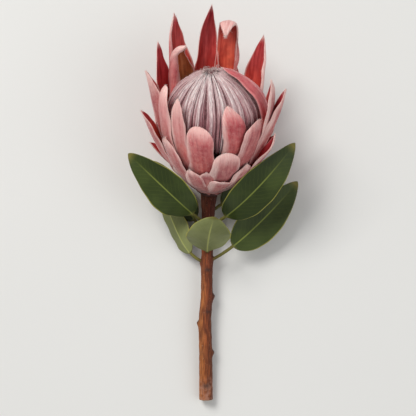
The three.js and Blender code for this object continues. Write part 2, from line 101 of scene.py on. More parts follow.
def rolled(name, tubes, looks, skins=0, **patterns):
    """One mesh of many tubes: an array of tube, row, place round, xyz in metres."""
    count, rows, around = tubes.shape[:3]
    bpy.ops.object.select_all(action="DESELECT")
    bpy.ops.mesh.primitive_grid_add(x_subdivisions=around, y_subdivisions=rows - 1, size=1)
    piece = bpy.context.object
    piece.name = name
    sheet = np.array([face.vertices[:] for face in piece.data.polygons])
    per_tube = rows * (around + 1)
    faces = (sheet[None] + (np.arange(count) * per_tube)[:, None, None]).reshape(-1, 4)
    closed = np.concatenate([tubes, tubes[:, :, :1]], axis=2).reshape(-1, 3)
    mesh = bpy.data.meshes.new(name)
    mesh.from_pydata(closed.tolist(), [], faces.tolist())
    for key, values in patterns.items():
        full = np.broadcast_to(values, (count, rows, around, 3))
        full = np.concatenate([full, full[:, :, :1]], axis=2)
        layer = mesh.attributes.new(key, "FLOAT_VECTOR", "POINT")
        layer.data.foreach_set("vector", full.astype(np.float32).ravel())
    skin = np.broadcast_to(skins, (count, rows - 1, around)).astype(np.int32).ravel()
    mesh.polygons.foreach_set("material_index", skin)
    for look in looks:
        mesh.materials.append(look)
    flat, piece.data = piece.data, mesh
    bpy.data.meshes.remove(flat)
    bpy.ops.object.mode_set(mode="EDIT")
    bpy.ops.mesh.select_all(action="SELECT")
    bpy.ops.mesh.remove_doubles(threshold=MERGE_WITHIN)
    bpy.ops.mesh.normals_make_consistent(inside=False)
    bpy.ops.object.mode_set(mode="OBJECT")
    bpy.ops.object.shade_smooth()
    print(f"{name}: {count} tube(s), {len(piece.data.polygons)} faces")
    return piece


# %% [markdown]
# ## Small helpers for every piece
# `ring_points` lays rings round a line, as a bevelled curve would. `together` makes the vectors that
# an attribute holds.

# %% Helpers for pieces


def ring_points(line, side, other, radius, turns):
    """Rings of points round a line, square to it, in the plane of side and other."""
    return (line[..., None, :] + side[..., None, :] * (radius * np.cos(turns))[..., None]
            + other[..., None, :] * (radius * np.sin(turns))[..., None])


def together(*parts):
    """Arrays of numbers as one array of vectors, each part stretched to the largest."""
    return np.stack(np.broadcast_arrays(*parts), -1)


def placed(name, data):
    thing = bpy.data.objects.new(name, data)
    bpy.context.scene.collection.objects.link(thing)
    return thing


def settle(piece, slot, *nodes):
    """The piece rides on the flower's one body, and the imported parts it stands for are hidden; slot
    is not used.
    """
    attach(piece, "root")
    if nodes:
        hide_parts(*nodes)


tried = ring_points(np.zeros((2, 3)), np.eye(3)[:2], np.eye(3)[1:], 1, np.zeros(4))
print("Two rings of four points, as an array:", tried.shape)

# %% [markdown]
# ## Finishes: a short way to write nodes
# Every material here is a small tree of nodes. `Tree` adds a node, feeds its inputs and hands back
# the output to use next, so that a finish reads from the pattern to the surface. `layered` puts one
# colour over another as a painter does, each through its mask. Colours are given as the eye sees
# them, 0 to 255, and turned to the linear values that the shader wants.

# %% Nodes and colours


def rgb(red, green, blue):
    return tuple((v / 255 / 12.92) if v < 11 else ((v / 255 + 0.055) / 1.055) ** 2.4
                 for v in (red, green, blue)) + (1,)


class Tree:
    """Adds nodes to one tree. Each method returns the output socket to use next."""

    def __init__(self, nodes, name):
        self.tree = nodes
        self.name = name

    def feed(self, made, inputs):
        for slot, value in inputs.items():
            if isinstance(value, bpy.types.NodeSocket):
                self.tree.links.new(value, made.inputs[slot])
            else:
                made.inputs[slot].default_value = value

    def node(self, kind, inputs, out=0, **settings):
        made = self.tree.nodes.new(kind)
        for key, value in settings.items():
            setattr(made, key, value)
        self.feed(made, inputs)
        return made.outputs[out]

    def shared(self, group, **inputs):
        made = self.tree.nodes.new("ShaderNodeGroup")
        made.node_tree = group
        self.feed(made, inputs)
        return made.outputs["Mask"]

    def vector(self, attribute):
        return self.node("ShaderNodeAttribute", {}, "Vector", attribute_name=attribute)

    def values(self, attribute):
        return self.node("ShaderNodeSeparateXYZ", {0: self.vector(attribute)}).node.outputs[:3]

    def here(self):
        return self.node("ShaderNodeTexCoord", {}, "Object")

    def math(self, operation, first, second=0.0):
        return self.node("ShaderNodeMath", {0: first, 1: second}, operation=operation)

    def times(self, first, *others):
        for other in others:
            first = self.math("MULTIPLY", first, other)
        return first

    def fade(self, value, low, high, start=0.0, end=1.0):
        return self.node("ShaderNodeMapRange", {0: value, 1: low, 2: high, 3: start, 4: end},
                         interpolation_type="SMOOTHSTEP")

    def mix(self, share, first, second):
        return self.node("ShaderNodeMix", {0: share, 6: first, 7: second}, 2, data_type="RGBA")

    def layered(self, colour, *layers):
        """Each layer over the last: its mask, how strongly it shows in 0..1, and its colour."""
        for mask, strength, top in layers:
            share = mask if strength == 1 else self.times(mask, strength)
            colour = self.mix(share, colour, top)
        return colour

    def noise(self, place, scale, detail=2.0):
        return self.node("ShaderNodeTexNoise", {"Vector": place, "Scale": scale, "Detail": detail})

    def bump(self, height, distance, strength):
        return self.node("ShaderNodeBump",
                         {"Height": height, "Distance": distance * MM, "Strength": strength})


print("Middle grey in linear light:", round(rgb(128, 128, 128)[0], 3))

# %% [markdown]
# ## How a finish starts and ends
# Every finish here is one Principled shader. `finish_named` makes it with the values that are the
# same all over: how rough it is, the soft sheen of down, and a little light that passes through thin
# petals. `surfaced` ends it: the colour goes to Base Color, and fine relief goes through a Bump node.

# %% A finish's start and end
SHEEN_ROUGHNESS = 0.4
FLESH_DEPTHS = (0.003, 0.001, 0.0008)  # metres that red, green and blue light pass through


def finish_named(name, roughness, sheen=0.0, specular=0.5, subsurface=0.0):
    """A new material: its tree, and its Principled node with the plain values set."""
    material = bpy.data.materials.new(name)
    material.use_nodes = True
    shader = material.node_tree.nodes["Principled BSDF"]
    shader.inputs["Roughness"].default_value = roughness
    shader.inputs["Sheen Weight"].default_value = sheen
    shader.inputs["Sheen Roughness"].default_value = SHEEN_ROUGHNESS
    shader.inputs["Specular IOR Level"].default_value = specular
    shader.inputs["Subsurface Weight"].default_value = subsurface
    shader.inputs["Subsurface Radius"].default_value = FLESH_DEPTHS
    return material, Tree(material.node_tree, name), shader


def surfaced(tree, shader, colour, relief=None, distance=0.0, strength=0.6):
    """The finish's colour and, where it has relief, a bump of so many millimetres."""
    tree.tree.links.new(colour, shader.inputs["Base Color"])
    if relief is not None:
        tree.tree.links.new(tree.bump(relief, distance, strength), shader.inputs["Normal"])
    print(f"{tree.name}: a finish of {len(tree.tree.nodes)} nodes")


print("Materials so far:", len(bpy.data.materials))

# %% [markdown]
# ## Two shared effects
# Bracts, florets, leaves and bark all show grain that runs lengthwise, at different scales. That
# is one node group, `lengthwise_grain`: noise stretched along the piece, put out as a mask. A second
# one, `blotches`, gives the uneven colour of anything that grew, from the object's own coordinates.
# As groups they are built once, and a change to one changes it on every piece.

# %% Node groups


def group_named(name, sockets_in, sockets_out):
    group = bpy.data.node_groups.new(name, "ShaderNodeTree")
    for label, kind, value in sockets_in:
        socket = group.interface.new_socket(label, in_out="INPUT", socket_type=kind)
        if value is not None:
            socket.default_value = value
    for label, kind in sockets_out:
        group.interface.new_socket(label, in_out="OUTPUT", socket_type=kind)
    start = group.nodes.new("NodeGroupInput")
    end = group.nodes.new("NodeGroupOutput")
    return group, Tree(group, name), start.outputs, end.inputs


grain, tree, given, wanted = group_named(
    "lengthwise_grain",
    [("Place", "NodeSocketVector", None), ("Across", "NodeSocketFloat", 1.0),
     ("Along", "NodeSocketFloat", 0.1), ("Contrast", "NodeSocketFloat", 0.2)],
    [("Mask", "NodeSocketFloat")])
stretch = tree.node("ShaderNodeCombineXYZ", {0: given["Across"], 1: given["Along"], 2: 1.0})
place = tree.node("ShaderNodeVectorMath", {0: given["Place"], 1: stretch}, operation="MULTIPLY")
low = tree.math("SUBTRACT", 0.5, given["Contrast"])
high = tree.math("ADD", 0.5, given["Contrast"])
tree.tree.links.new(tree.fade(tree.noise(place, 1.0, 3.0), low, high), wanted["Mask"])

blotches, tree, given, wanted = group_named(
    "blotches", [("Size", "NodeSocketFloat", 10.0)], [("Mask", "NodeSocketFloat")])
often = tree.math("DIVIDE", 1000.0, given["Size"])
tree.tree.links.new(tree.fade(tree.noise(tree.here(), often, 4.0), 0.35, 0.65), wanted["Mask"])
print("Shared groups:", grain.name, "and", blotches.name)

# %% [markdown]
# ## Placing the two groups
# A finish places a group with values of its own: how fine the grain is across and along, or how big
# the blotches are. Two short functions do that. `patchy` is a whole finish from blotches, for the
# parts that are plainest on the real flower.

# %% The groups in use


def grained(tree, across, along, contrast):
    """The lengthwise grain's mask, from the place on the blade that the piece carries."""
    place = tree.vector("grain_at")
    return tree.shared(grain, Place=place, Across=across, Along=along, Contrast=contrast)


def blotched(tree, size):
    """The blotches' mask, with spots of about this many millimetres."""
    return tree.shared(blotches, Size=size)


def patchy(name, roughness, size, dark, light, sheen=0.0, bumps=0.0):
    """A plain finish of two colours in blotches, raised by so many millimetres."""
    material, tree, shader = finish_named(name, roughness, sheen)
    patches = blotched(tree, size)
    relief = patches if bumps else None
    surfaced(tree, shader, tree.mix(patches, dark, light), relief, bumps, 0.7)
    return material


print("Nodes in each group:", len(grain.nodes), "and", len(blotches.nodes))

# %% [markdown]
# ## The stem's finish
# The bark is reddish brown, more orange towards the cut, and nearly black maroon at the neck. Its
# left side is paler and more orange, which is a painted highlight, and its right side is darker,
# which is painted shade. Fine fibres run up the stem, with small pale specks, bark has flaked off
# near the cut, and each old leaf scar is dark. The cut end is pale wood. All of it could be painted
# on an image, but stretched noise has no seam and no blurred pixels.
# `share` holds: cut wood or bark, share of the length, scar. The place on the stem, `grain_at`, also
# tells left from right.

# %% Bark
bark, tree, shader = finish_named("bark", 0.66, specular=0.3)
wood, height, scar = tree.values("share")
_, _, to_right = tree.values("grain_at")
fibres = grained(tree, 1.6, 0.09, 0.16)
fine = grained(tree, 5.0, 0.5, 0.2)
low_bark = tree.mix(fibres, rgb(94, 44, 18), rgb(158, 84, 40))
high_bark = tree.mix(fibres, rgb(88, 38, 18), rgb(146, 70, 36))
neck_bark = tree.mix(fibres, rgb(72, 28, 18), rgb(124, 54, 36))
# Painted highlight: paler, more orange bark for the lit left side.
painted_lit_bark = tree.mix(fibres, rgb(134, 68, 28), rgb(194, 124, 66))
cut_wood = tree.mix(fine, rgb(196, 168, 122), rgb(158, 124, 84))
# Where the painted highlight lies: the left side, weaker towards the neck.
painted_light_side = tree.times(tree.fade(to_right, 2.0, -5.0), tree.fade(height, 0.72, 0.45, 0.15, 0.7))
specks = tree.fade(tree.noise(tree.here(), 900.0), 0.66, 0.72)
flaked = tree.times(blotched(tree, 4.0), tree.fade(height, 0.13, 0.06))
colour = tree.layered(
    tree.mix(tree.fade(height, 0.1, 0.6), low_bark, high_bark),
    (tree.fade(height, 0.74, 0.86), 1, neck_bark),
    (painted_light_side, 1, painted_lit_bark),
    # Painted shade down the right side.
    (tree.fade(to_right, 0.0, 6.0), 0.4, rgb(66, 30, 20)),
    (blotched(tree, 14.0), 0.35, rgb(66, 36, 28)),
    (specks, 0.5, rgb(190, 150, 116)),
    (flaked, 0.5, rgb(190, 140, 118)),
    (scar, 0.8, rgb(42, 24, 20)),
    (wood, 1, cut_wood))
surfaced(tree, shader, colour, tree.math("ADD", fibres, tree.times(fine, 0.4)), 0.35, 0.7)

# %% [markdown]
# ## The stem's middle line
# A cut protea stem is nearly straight and bends forward only at the neck. Its middle line runs
# smoothly through measured points. A curve object could draw it as well, but worked out here it also
# gives the ways along, to the right and to the face at each row, which place everything round it.

# %% The stem's middle line
STEM_KNOTS = np.array([
    [0, 0, 0], [-0.3, 45, 0.4], [-0.9, 78, 0], [0.5, 95, -0.4], [0.9, 128, -0.3], [1.3, 150, 0],
    [1.9, 172, 2.4], HEAD_FOOT - 8 * HEAD_TURN[:, 1], HEAD_FOOT,
])
STEM_ALONG = 380
SPAN_STEPS = 40


def unit(vectors):
    return vectors / np.linalg.norm(vectors, axis=-1, keepdims=True)


def run_along(line):
    """Millimetres from the start of a line of points to each of them."""
    return np.r_[0, np.cumsum(np.linalg.norm(np.diff(line, axis=0), axis=1))]


def through(knots, steps):
    """Evenly spaced points on a smooth curve through the knots, and its length."""
    ends = np.vstack([2 * knots[0] - knots[1], knots, 2 * knots[-1] - knots[-2]])
    t = np.linspace(0, 1, SPAN_STEPS, endpoint=False)[:, None]
    spans = []
    for p, q, r, s in zip(ends, ends[1:], ends[2:], ends[3:]):
        before, here, after = (np.linalg.norm(b - a) ** 0.5 for a, b in ((p, q), (q, r), (r, s)))
        leave = here * ((q - p) / before - (r - p) / (before + here) + (r - q) / here)
        meet = here * ((r - q) / here - (s - q) / (here + after) + (s - r) / after)
        spans.append((2 * t**3 - 3 * t**2 + 1) * q + (t**3 - 2 * t**2 + t) * leave
                     + (3 * t**2 - 2 * t**3) * r + (t**3 - t**2) * meet)
    path = np.vstack([*spans, knots[-1:]])
    run = run_along(path)
    even = np.linspace(0, run[-1], steps)
    return np.stack([np.interp(even, run, path[:, i]) for i in range(3)], 1), run[-1]


centre, stem_length = through(STEM_KNOTS, STEM_ALONG)
along = unit(np.gradient(centre, axis=0))
right = unit(np.cross(along, [0, 0, 1]))
face = np.cross(right, along)
print("Stem's length along its middle:", round(float(stem_length), 1), "mm")

# %% [markdown]
# ## The stem's knobs
# A protea stem is knobbly: every old leaf has left a small shelf with a scar. They could be pushed
# out one by one in edit mode. Here each is a bump in a table of heights over the stem's skin, one row
# per ring. It rises slowly from below and drops quickly above, where its scar lies.

# %% Knobs
# Share of the length, degrees round from the face, height and half length of each knob.
STEM_KNOBS = [
    (0.065, 5, 0.9, 4), (0.13, -150, 1.2, 4), (0.23, 88, 1.7, 3.5), (0.31, 170, 1.3, 4),
    (0.37, -86, 1.7, 3.5), (0.42, 30, 0.7, 3), (0.5, 90, 2.1, 3.5), (0.56, -160, 1.2, 4),
    (0.62, 12, 0.8, 3), (0.66, -90, 1.4, 4), (0.68, 88, 1.4, 4), (0.79, -70, 1.2, 4),
    (0.83, 80, 1.2, 4), (0.9, 150, 1.2, 4),
]
KNOB_HALF_WIDTH = 32  # degrees
KNOB_STEEPNESS = (1.9, 0.9)  # above its highest place and below it
SCAR_AT, SCAR_STEEPNESS = 0.3, 1.5
STEM_AROUND = 44

share = np.linspace(0, 1, STEM_ALONG)[:, None]
degrees = np.arange(STEM_AROUND)[None] * 360 / STEM_AROUND
knobs = np.zeros((STEM_ALONG, STEM_AROUND))
scars = np.zeros_like(knobs)
for at, around, tall, half in STEM_KNOBS:
    run = (share - at) * stem_length / half
    away = (degrees - around + 180) % 360 - 180
    wide = np.exp(-(away / KNOB_HALF_WIDTH) ** 2)
    knobs += tall * np.exp(-(run * np.where(run > 0, *KNOB_STEEPNESS)) ** 2) * wide
    scars += np.exp(-((run - SCAR_AT) * SCAR_STEEPNESS) ** 2) * wide
print("Highest knob:", knobs.max().round(2), "mm")

# %% [markdown]
# ## The stem's skin
# Rings go round the middle line. Waves round them, which wander as they run up, make the bark's long
# fibres real, not painted. A Displace modifier could add the softer bumps. `ripple` does it here,
# from a few crossed waves that are the same at every run, because the bracts need it too.

# %% Rings of the stem
STEM_RADII = [(0, 6.4), (0.3, 6.1), (0.55, 5.5), (0.8, 5.4), (0.92, 6.4), (1, 8)]
SKIN_RADIUS = 6  # a plain stem, for the places that the patterns are read at
FIBRES = ((9, 0.4), (14, 1.1), (19, 2.3))  # waves round the stem, and how much each wanders
FIBRE_HEIGHT, BARK_BUMPS = 0.16, 0.22


def ripple(points, size, seed):
    """Soft bumps in about -1..1, roughly size across, at points of any shape."""
    draw = np.random.default_rng(seed)
    ways = unit(draw.normal(size=(9, 3))) * draw.uniform(0.6, 1.4, (9, 1)) * 2 * math.pi / size
    return np.sin(points @ ways.T + draw.uniform(0, 2 * math.pi, 9)).mean(-1) * 1.6


round_way = np.radians(degrees)
wander = 1.3 * np.sin(share * 21) + 0.7 * np.sin(share * 47)
fibre = sum(np.sin(k * round_way + wander * c + c) for k, c in FIBRES) / len(FIBRES)
surface = together(
    share * stem_length, SKIN_RADIUS * np.cos(round_way), SKIN_RADIUS * np.sin(round_way))
radius = np.interp(share, *zip(*STEM_RADII)) + knobs
radius = radius + FIBRE_HEIGHT * fibre + BARK_BUMPS * ripple(surface, 9, 3)
rings = ring_points(centre, face, right, radius, round_way)
print("Stem's radius:", radius.min().round(2), "to", radius.max().round(2), "mm")

# %% [markdown]
# ## The cut end, and the whole stem
# The knife left a flat end, where the pale wood shows, with a small chamfer at the bark. Its rings are
# the stem's first ring drawn in step by step, as an inset would. The upper end is inside the head,
# so it just closes to a point.

# %% The cut end, and the whole stem
CHAMFER = 0.5
CUT_RINGS = np.array([0, 0.2, 0.5, 0.8, 0.94])[:, None, None]  # shares of the cut's radius

rings[0] += CHAMFER * along[0]
cap = centre[0] + (rings[0] - CHAMFER * along[0] - centre[0]) * CUT_RINGS
end = np.repeat(centre[-1:], STEM_AROUND, 0)[None]
rings = np.concatenate([cap, rings, end])
surface = np.concatenate([cap[..., [0, 2, 1]], surface, surface[-1:]])
bark_from = len(CUT_RINGS)
values = np.zeros(rings.shape)
values[:bark_from, :, 0] = 1
values[bark_from:-1, :, 1] = share
values[-1, :, 1] = 1
values[bark_from:-1, :, 2] = np.clip(scars, 0, 1)
stem = rolled("stem_shaft", laid(rings)[None], [bark],
              grain_at=surface[..., [1, 0, 2]], share=values)
settle(stem, "stem", "stem")

# %% [markdown]
# ## The leaves' finishes
# Protea leaves are thick and leathery. The upper side is a dark olive green with a soft wax gloss, a
# yellow-green midrib, faint side veins and a thin yellow margin, and the tip ends in a small orange
# gland. The lower side is paler and greyer. The stalk is olive, and reddish near the stem. The side
# veins are too fine for the mesh, so waves in the finish draw them and its bump raises them.
# `share` holds: distance from the midrib to the margin, share of the whole leaf, blade or stalk.

# %% Leaf finishes
VEIN_STEP = 5.5  # millimetres between side veins
VEIN_SLANT = 1.15


def leaf_finish(name, dark, light, vein, roughness, relief_sign):
    material, tree, shader = finish_named(name, roughness, specular=0.28)
    edge, reach, blade = tree.values("share")
    across, run, _ = tree.values("grain_at")
    texture = grained(tree, 1.2, 0.9, 0.25)
    out = tree.math("ABSOLUTE", across)
    wavy = tree.times(tree.noise(tree.vector("grain_at"), 0.12), 5.0)
    bent = tree.math("ADD", tree.math("SUBTRACT", run, tree.times(out, VEIN_SLANT)), wavy)
    between = tree.math("PINGPONG", tree.math("DIVIDE", bent, VEIN_STEP), 0.5)
    side_vein = tree.times(tree.fade(between, 0.16, 0.0), tree.fade(edge, 1.0, 0.6))
    midrib = tree.times(tree.fade(out, 0.95, 0.3), tree.fade(reach, 0.98, 0.7))
    stalk = tree.mix(tree.fade(reach, 0.04, 0.26), rgb(84, 44, 26), rgb(110, 106, 48))
    colour = tree.layered(
        tree.mix(blotched(tree, 30.0), dark, light),
        (texture, 0.16, light),
        (side_vein, 0.06, vein),
        (midrib, 0.85, vein),
        (tree.times(tree.fade(edge, 0.94, 0.975), blade), 1, rgb(158, 154, 70)),
        (tree.fade(reach, 0.974, 0.992), 1, rgb(222, 140, 50)),
        (tree.fade(blade, 0.35, 0.05), 1, stalk))
    veins = tree.math("ADD", tree.times(side_vein, 0.15), midrib)
    relief = tree.math("ADD", tree.times(veins, relief_sign), tree.times(texture, 0.25))
    surfaced(tree, shader, colour, relief, 0.25)
    return material


leaf_upper = leaf_finish(
    "leaf_upper", rgb(44, 56, 20), rgb(62, 75, 30), rgb(128, 138, 60), 0.48, -1.0)
leaf_lower = leaf_finish(
    "leaf_lower", rgb(108, 114, 66), rgb(134, 140, 88), rgb(172, 176, 100), 0.5, 1.0)

# %% [markdown]
# ## A leaf's line and outline
# Each leaf follows a Bezier curve from inside the stem to its tip. Such a curve suits a blade, because
# its two handles say how the blade leaves and how it ends. The first third is a slim round stalk,
# thicker where it leaves the stem. Then it widens into a long oval blade, whose rows lie closest
# together at its two ends.

# %% A leaf's line and outline
STALK_ROWS, BLADE_ROWS = 14, 50
STALK_HALF, STALK_FOOT = 1.5, 0.8  # half width, and how much more it is at the stem
LEAF_TIP_HALF = 0.7


def ease(value, low, high):
    t = np.clip((np.asarray(value, float) - low) / (high - low), 0, 1)
    return t * t * (3 - 2 * t)


def mixed(first, second, share):
    return first + (second - first) * share


def bezier(handles, share):
    """Points and unit directions along a cubic Bezier curve."""
    a, b, c, d = np.asarray(handles, float)
    t = share[:, None]
    s = 1 - t
    points = s**3 * a + 3 * s * s * t * b + 3 * s * t * t * c + t**3 * d
    return points, unit(s * s * (b - a) + 2 * s * t * (c - b) + t * t * (d - c))


def leaf_outline(stalk, half_width):
    """Each row's share of the whole leaf, its share of the blade, and its half width."""
    share = np.r_[stalk * np.arange(STALK_ROWS) / STALK_ROWS,
                  mixed(stalk, 1, (1 - np.cos(np.pi * np.linspace(0, 1, BLADE_ROWS))) / 2)]
    t = np.clip((share - stalk) / (1 - stalk), 0, 1)
    oval = half_width * np.sin(np.pi * t**0.86).clip(0) ** 0.66
    half = np.maximum.reduce([STALK_HALF * (1 - t), oval, np.full_like(t, LEAF_TIP_HALF)])
    half[:STALK_ROWS] = STALK_HALF + STALK_FOOT * ease(share[:STALK_ROWS], 0.16, 0.05)
    return share, t, half


tried_share, _, tried_half = leaf_outline(0.3, 19)
print("A leaf is widest at this share of its length:", tried_share[tried_half.argmax()].round(2))

# %% [markdown]
# ## A leaf's cross-sections
# Across, a leaf is a loop of points: from the left margin to the right one on the upper side, and
# back underneath. So the stalk is round and the blade is thin with soft margins. The margins rise
# from the midrib, wave and ruffle, and the midrib stands out below.

# %% Cross-sections
BLADE_HALF_THICK = 0.55
LEAF_FOLD, LEAF_WAVE, LEAF_RUFFLE = 0.16, 1.5, 0.5
RUFFLES_PER_WAVE = 3.4
RIB_HALF, RIB_BELOW, RIB_ABOVE = 1.3, 0.7, -0.15  # half width, and how far it stands out
HALF_ACROSS = np.array([0, 0.05, 0.13, 0.26, 0.42, 0.58, 0.73, 0.86, 0.94, 0.98, 1])


def loop_round(half):
    """The places across, from the left margin to the right one, and the whole loop's, with sides."""
    over = np.r_[-half[:0:-1], half]
    return over, np.r_[over, over[-2:0:-1]], np.r_[np.ones(len(over)), -np.ones(len(over) - 2)]


UPPER, LOOP, LOOP_SIDE = loop_round(HALF_ACROSS)


def leaf_rings(curve, stalk, half_width, look, waves, number):
    """Points of one leaf, the places for its grain, and the three values of its finish."""
    share, on_blade, half = leaf_outline(stalk, half_width)
    line, along = bezier(curve, share)
    side = unit(np.cross(along, look))
    normal = np.cross(side, along)
    spread = np.clip((half - STALK_HALF) / (half_width - STALK_HALF), 0, 1) * (share > stalk)
    s, t, h, w = share[:, None], on_blade[:, None], half[:, None], spread[:, None]
    a, size = LOOP[None], np.abs(LOOP)[None]
    wave = np.sin(2 * np.pi * waves * s + number * 1.7 + np.where(a > 0, 1.3, 0))
    ruffle = np.sin(2 * np.pi * RUFFLES_PER_WAVE * waves * s + number * 2.9 + np.where(a > 0, 0.6, 2.4))
    lift = size**1.5 * (LEAF_FOLD * (h - STALK_HALF) + w * LEAF_WAVE * wave)
    lift = lift + size**4 * w * LEAF_RUFFLE * ruffle
    blade = BLADE_HALF_THICK * np.sqrt(1 - size**8)
    stem_like = np.where(w > 0, np.minimum(h, STALK_HALF), h) * np.sqrt(1 - size**2)
    thick = mixed(stem_like, blade, np.maximum(ease(w, 0.0, 0.4), t > 0.5))
    rib = np.exp(-(a * h / RIB_HALF) ** 2) * (1 - 0.7 * t) * (w > 0)
    thick = thick + np.where(LOOP_SIDE > 0, RIB_ABOVE, RIB_BELOW) * rib
    points = (line[:, None] + side[:, None] * (a * h)[..., None]
              + normal[:, None] * (lift + LOOP_SIDE * thick)[..., None])
    points[0], points[-1] = line[0], line[-1]
    grain_at = together(a * h, run_along(line)[:, None], number * 31.0)
    return points, grain_at, together(size * (w > 0), s, w)


print("Points round a leaf:", len(LOOP))

# %% [markdown]
# ## The seven leaves
# Each leaf takes a line in a table, so that it can be bent on its own. A face of the loop is upper or
# lower side, which decides its finish. Each leaf is a piece of its own, because each was a node of
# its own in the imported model.

# %% Leaves
# Curve from the stem to the tip, share that is stalk, half width, way the upper side looks, waves.
LEAVES = [
    ([(0.8, 166, 1), (-8, 170, 18), (-32, 194, 44), (-71, 231, 34)],
     0.32, 19.5, (-0.24, -0.3, 0.92), 2.2),
    ([(1.2, 164, 0), (12, 166, 16), (42, 188, 59.5), (81, 240, 44)],
     0.34, 19, (0.24, -0.3, 0.92), 2),
    ([(1.2, 139, 0), (1, 143, 16), (2, 158, 40), (8, 173, 50)], 0.14, 21, (0, 0.85, -0.53), 1.6),
    ([(1, 129.6, 0), (-14, 132, 1), (-26, 146, 2), (-46, 212, -4)], 0.36, 14, (0.7, 0.2, -0.68), 2),
    ([(1.3, 131, 0), (14, 134, 2), (46, 158, 8), (86, 206, 8)], 0.4, 19, (0.1, -0.15, 0.98), 2.4),
    ([(2, 176, 3), (14, 184, -5), (32, 196, -10), (64, 224, -11)], 0.3, 14, (0.1, -0.1, 0.99), 2),
    ([(1.3, 155, 0), (-8, 164, -5), (-20, 184, -11), (-50, 226, -13)],
     0.36, 14, (-0.1, -0.1, 0.99), 2),
]


def lower_faces(sides, over):
    """Which faces of a loop take the second finish: the lower side's, and the right margin's."""
    return (sides < 0) | (np.arange(len(sides)) == len(over) - 1)


for number, leaf in enumerate(LEAVES):
    rings, grain_at, values = leaf_rings(*leaf, number)
    piece = rolled(f"leaf_blade_{number + 1}", laid(rings)[None], [leaf_upper, leaf_lower],
                   lower_faces(LOOP_SIDE, UPPER), grain_at=grain_at, share=values)
    settle(piece, "leaf", f"leaf_{number + 1}")

# %% [markdown]
# ## The bracts' finishes
# The showy "petals" are bracts. Outside, they are dusty rose under a silver down, silkier and paler
# at the margins and tips. Inside, they are smooth and deep crimson, turning orange or green low down.
# Both sides are streaked lengthwise. Down as dense as the real one would take millions of hairs, so
# the finish shows it, and real hairs follow only where they stand out. `share` holds: distance from
# the middle to the margin, share of the length from the root, and a tint that makes some bracts
# rosier and others more silver. `own` holds what sets a bract apart: frost, how silky it is; warm,
# how orange low down; olive, how green inside.

# %% A bract's streaks and silk


def bract_finish(name, roughness, sheen):
    """The start that both sides share: streaks, fine silk, and the values that a bract carries."""
    material, tree, shader = finish_named(name, roughness, sheen, 0.3, 0.06)
    streaks = grained(tree, 0.42, 0.04, 0.3)
    silk = grained(tree, 2.6, 0.12, 0.18)
    return material, tree, shader, streaks, silk, tree.values("share"), tree.values("own")


def streaked(dark, light):
    """Two colours along the streaks of the finish in hand."""
    return tree.mix(streaks, rgb(*dark), rgb(*light))


bract_outside, tree, shader, streaks, silk, (edge, reach, tint), (frost, warm, _) = bract_finish(
    "bract_outside", 0.6, 0.3)
across, _, _ = tree.values("grain_at")
rosy = streaked((172, 42, 56), (220, 94, 100))
silver = streaked((150, 72, 76), (202, 128, 124))
coral = streaked((186, 52, 44), (226, 104, 84))
print("The outside's streaks and base colours:", len(tree.tree.nodes), "nodes")

# %% [markdown]
# ## The bracts' outside
# White down gathers at the margins and the tip. The more frost a bract has, the further in the down
# starts, and above 1 it lies all over the upper half. On the right-hand half of each bract the down
# starts later and the rose is stronger, which is painted shade, and the wider white margin on the
# left half is a painted highlight.

# %% Bract outside
EDGE_WIDTH = 0.4

# Where the down starts. The shift by `across` is painted light: a wider white margin on the lit left
# half, a narrower one on the shaded right half.
down_start_and_painted_light = tree.math("ADD", tree.fade(frost, 0.0, 1.0, 0.9, 0.45),
                      tree.fade(across, -3.0, 3.0, -0.12, 0.22))
near_edge = tree.fade(
    tree.math("DIVIDE", tree.math("SUBTRACT", edge, down_start_and_painted_light), EDGE_WIDTH), 0.0, 1.0)
near_tip = tree.fade(reach, tree.fade(frost, 0.0, 1.0, 0.95, 0.72), 1.0)
down = tree.times(tree.math("MAXIMUM", near_edge, near_tip), tree.fade(reach, 0.1, 0.5),
                  tree.fade(silk, 0.0, 1.0, 0.6, 1.1), tree.fade(frost, 0.0, 1.0, 0.5, 1.0))
low_down = tree.times(warm, tree.fade(reach, 0.8, 0.45))
mottle = tree.times(blotched(tree, 3.5), tree.fade(frost, 0.0, 1.0, 0.08, 0.3))
# Painted shade: a deeper rose over the right half, fading out towards the tip.
painted_shade_right = tree.times(tree.fade(across, 1.0, 9.0), tree.fade(reach, 0.95, 0.6))
all_over = tree.times(tree.fade(frost, 1.0, 1.5), tree.fade(reach, 0.35, 0.75),
                      tree.fade(streaks, 0.0, 1.0, 0.3, 1.0))
colour = tree.layered(
    tree.mix(tint, rosy, silver),
    (low_down, 0.8, coral),
    (tree.fade(reach, 0.4, 0.1), 0.6, rgb(112, 50, 50)),
    (blotched(tree, 9.0), 0.45, rgb(166, 44, 58)),
    (mottle, 1, rgb(230, 168, 158)),
    (painted_shade_right, 0.4, rgb(174, 46, 56)),
    (all_over, 0.7, rgb(236, 176, 172)),
    (down, 1, rgb(242, 204, 196)),
    (silk, 0.12, rgb(232, 186, 178)))
surfaced(tree, shader, colour, tree.math("ADD", streaks, tree.times(silk, 0.5)), 0.25)

# %% [markdown]
# ## The bracts' inside, and the receptacle
# The inside shows where a bract's margins roll over or its tip hooks back. It is crimson with a soft
# bloom towards the tip and a pale silky margin. The receptacle is only seen in gaps: dark and rough.

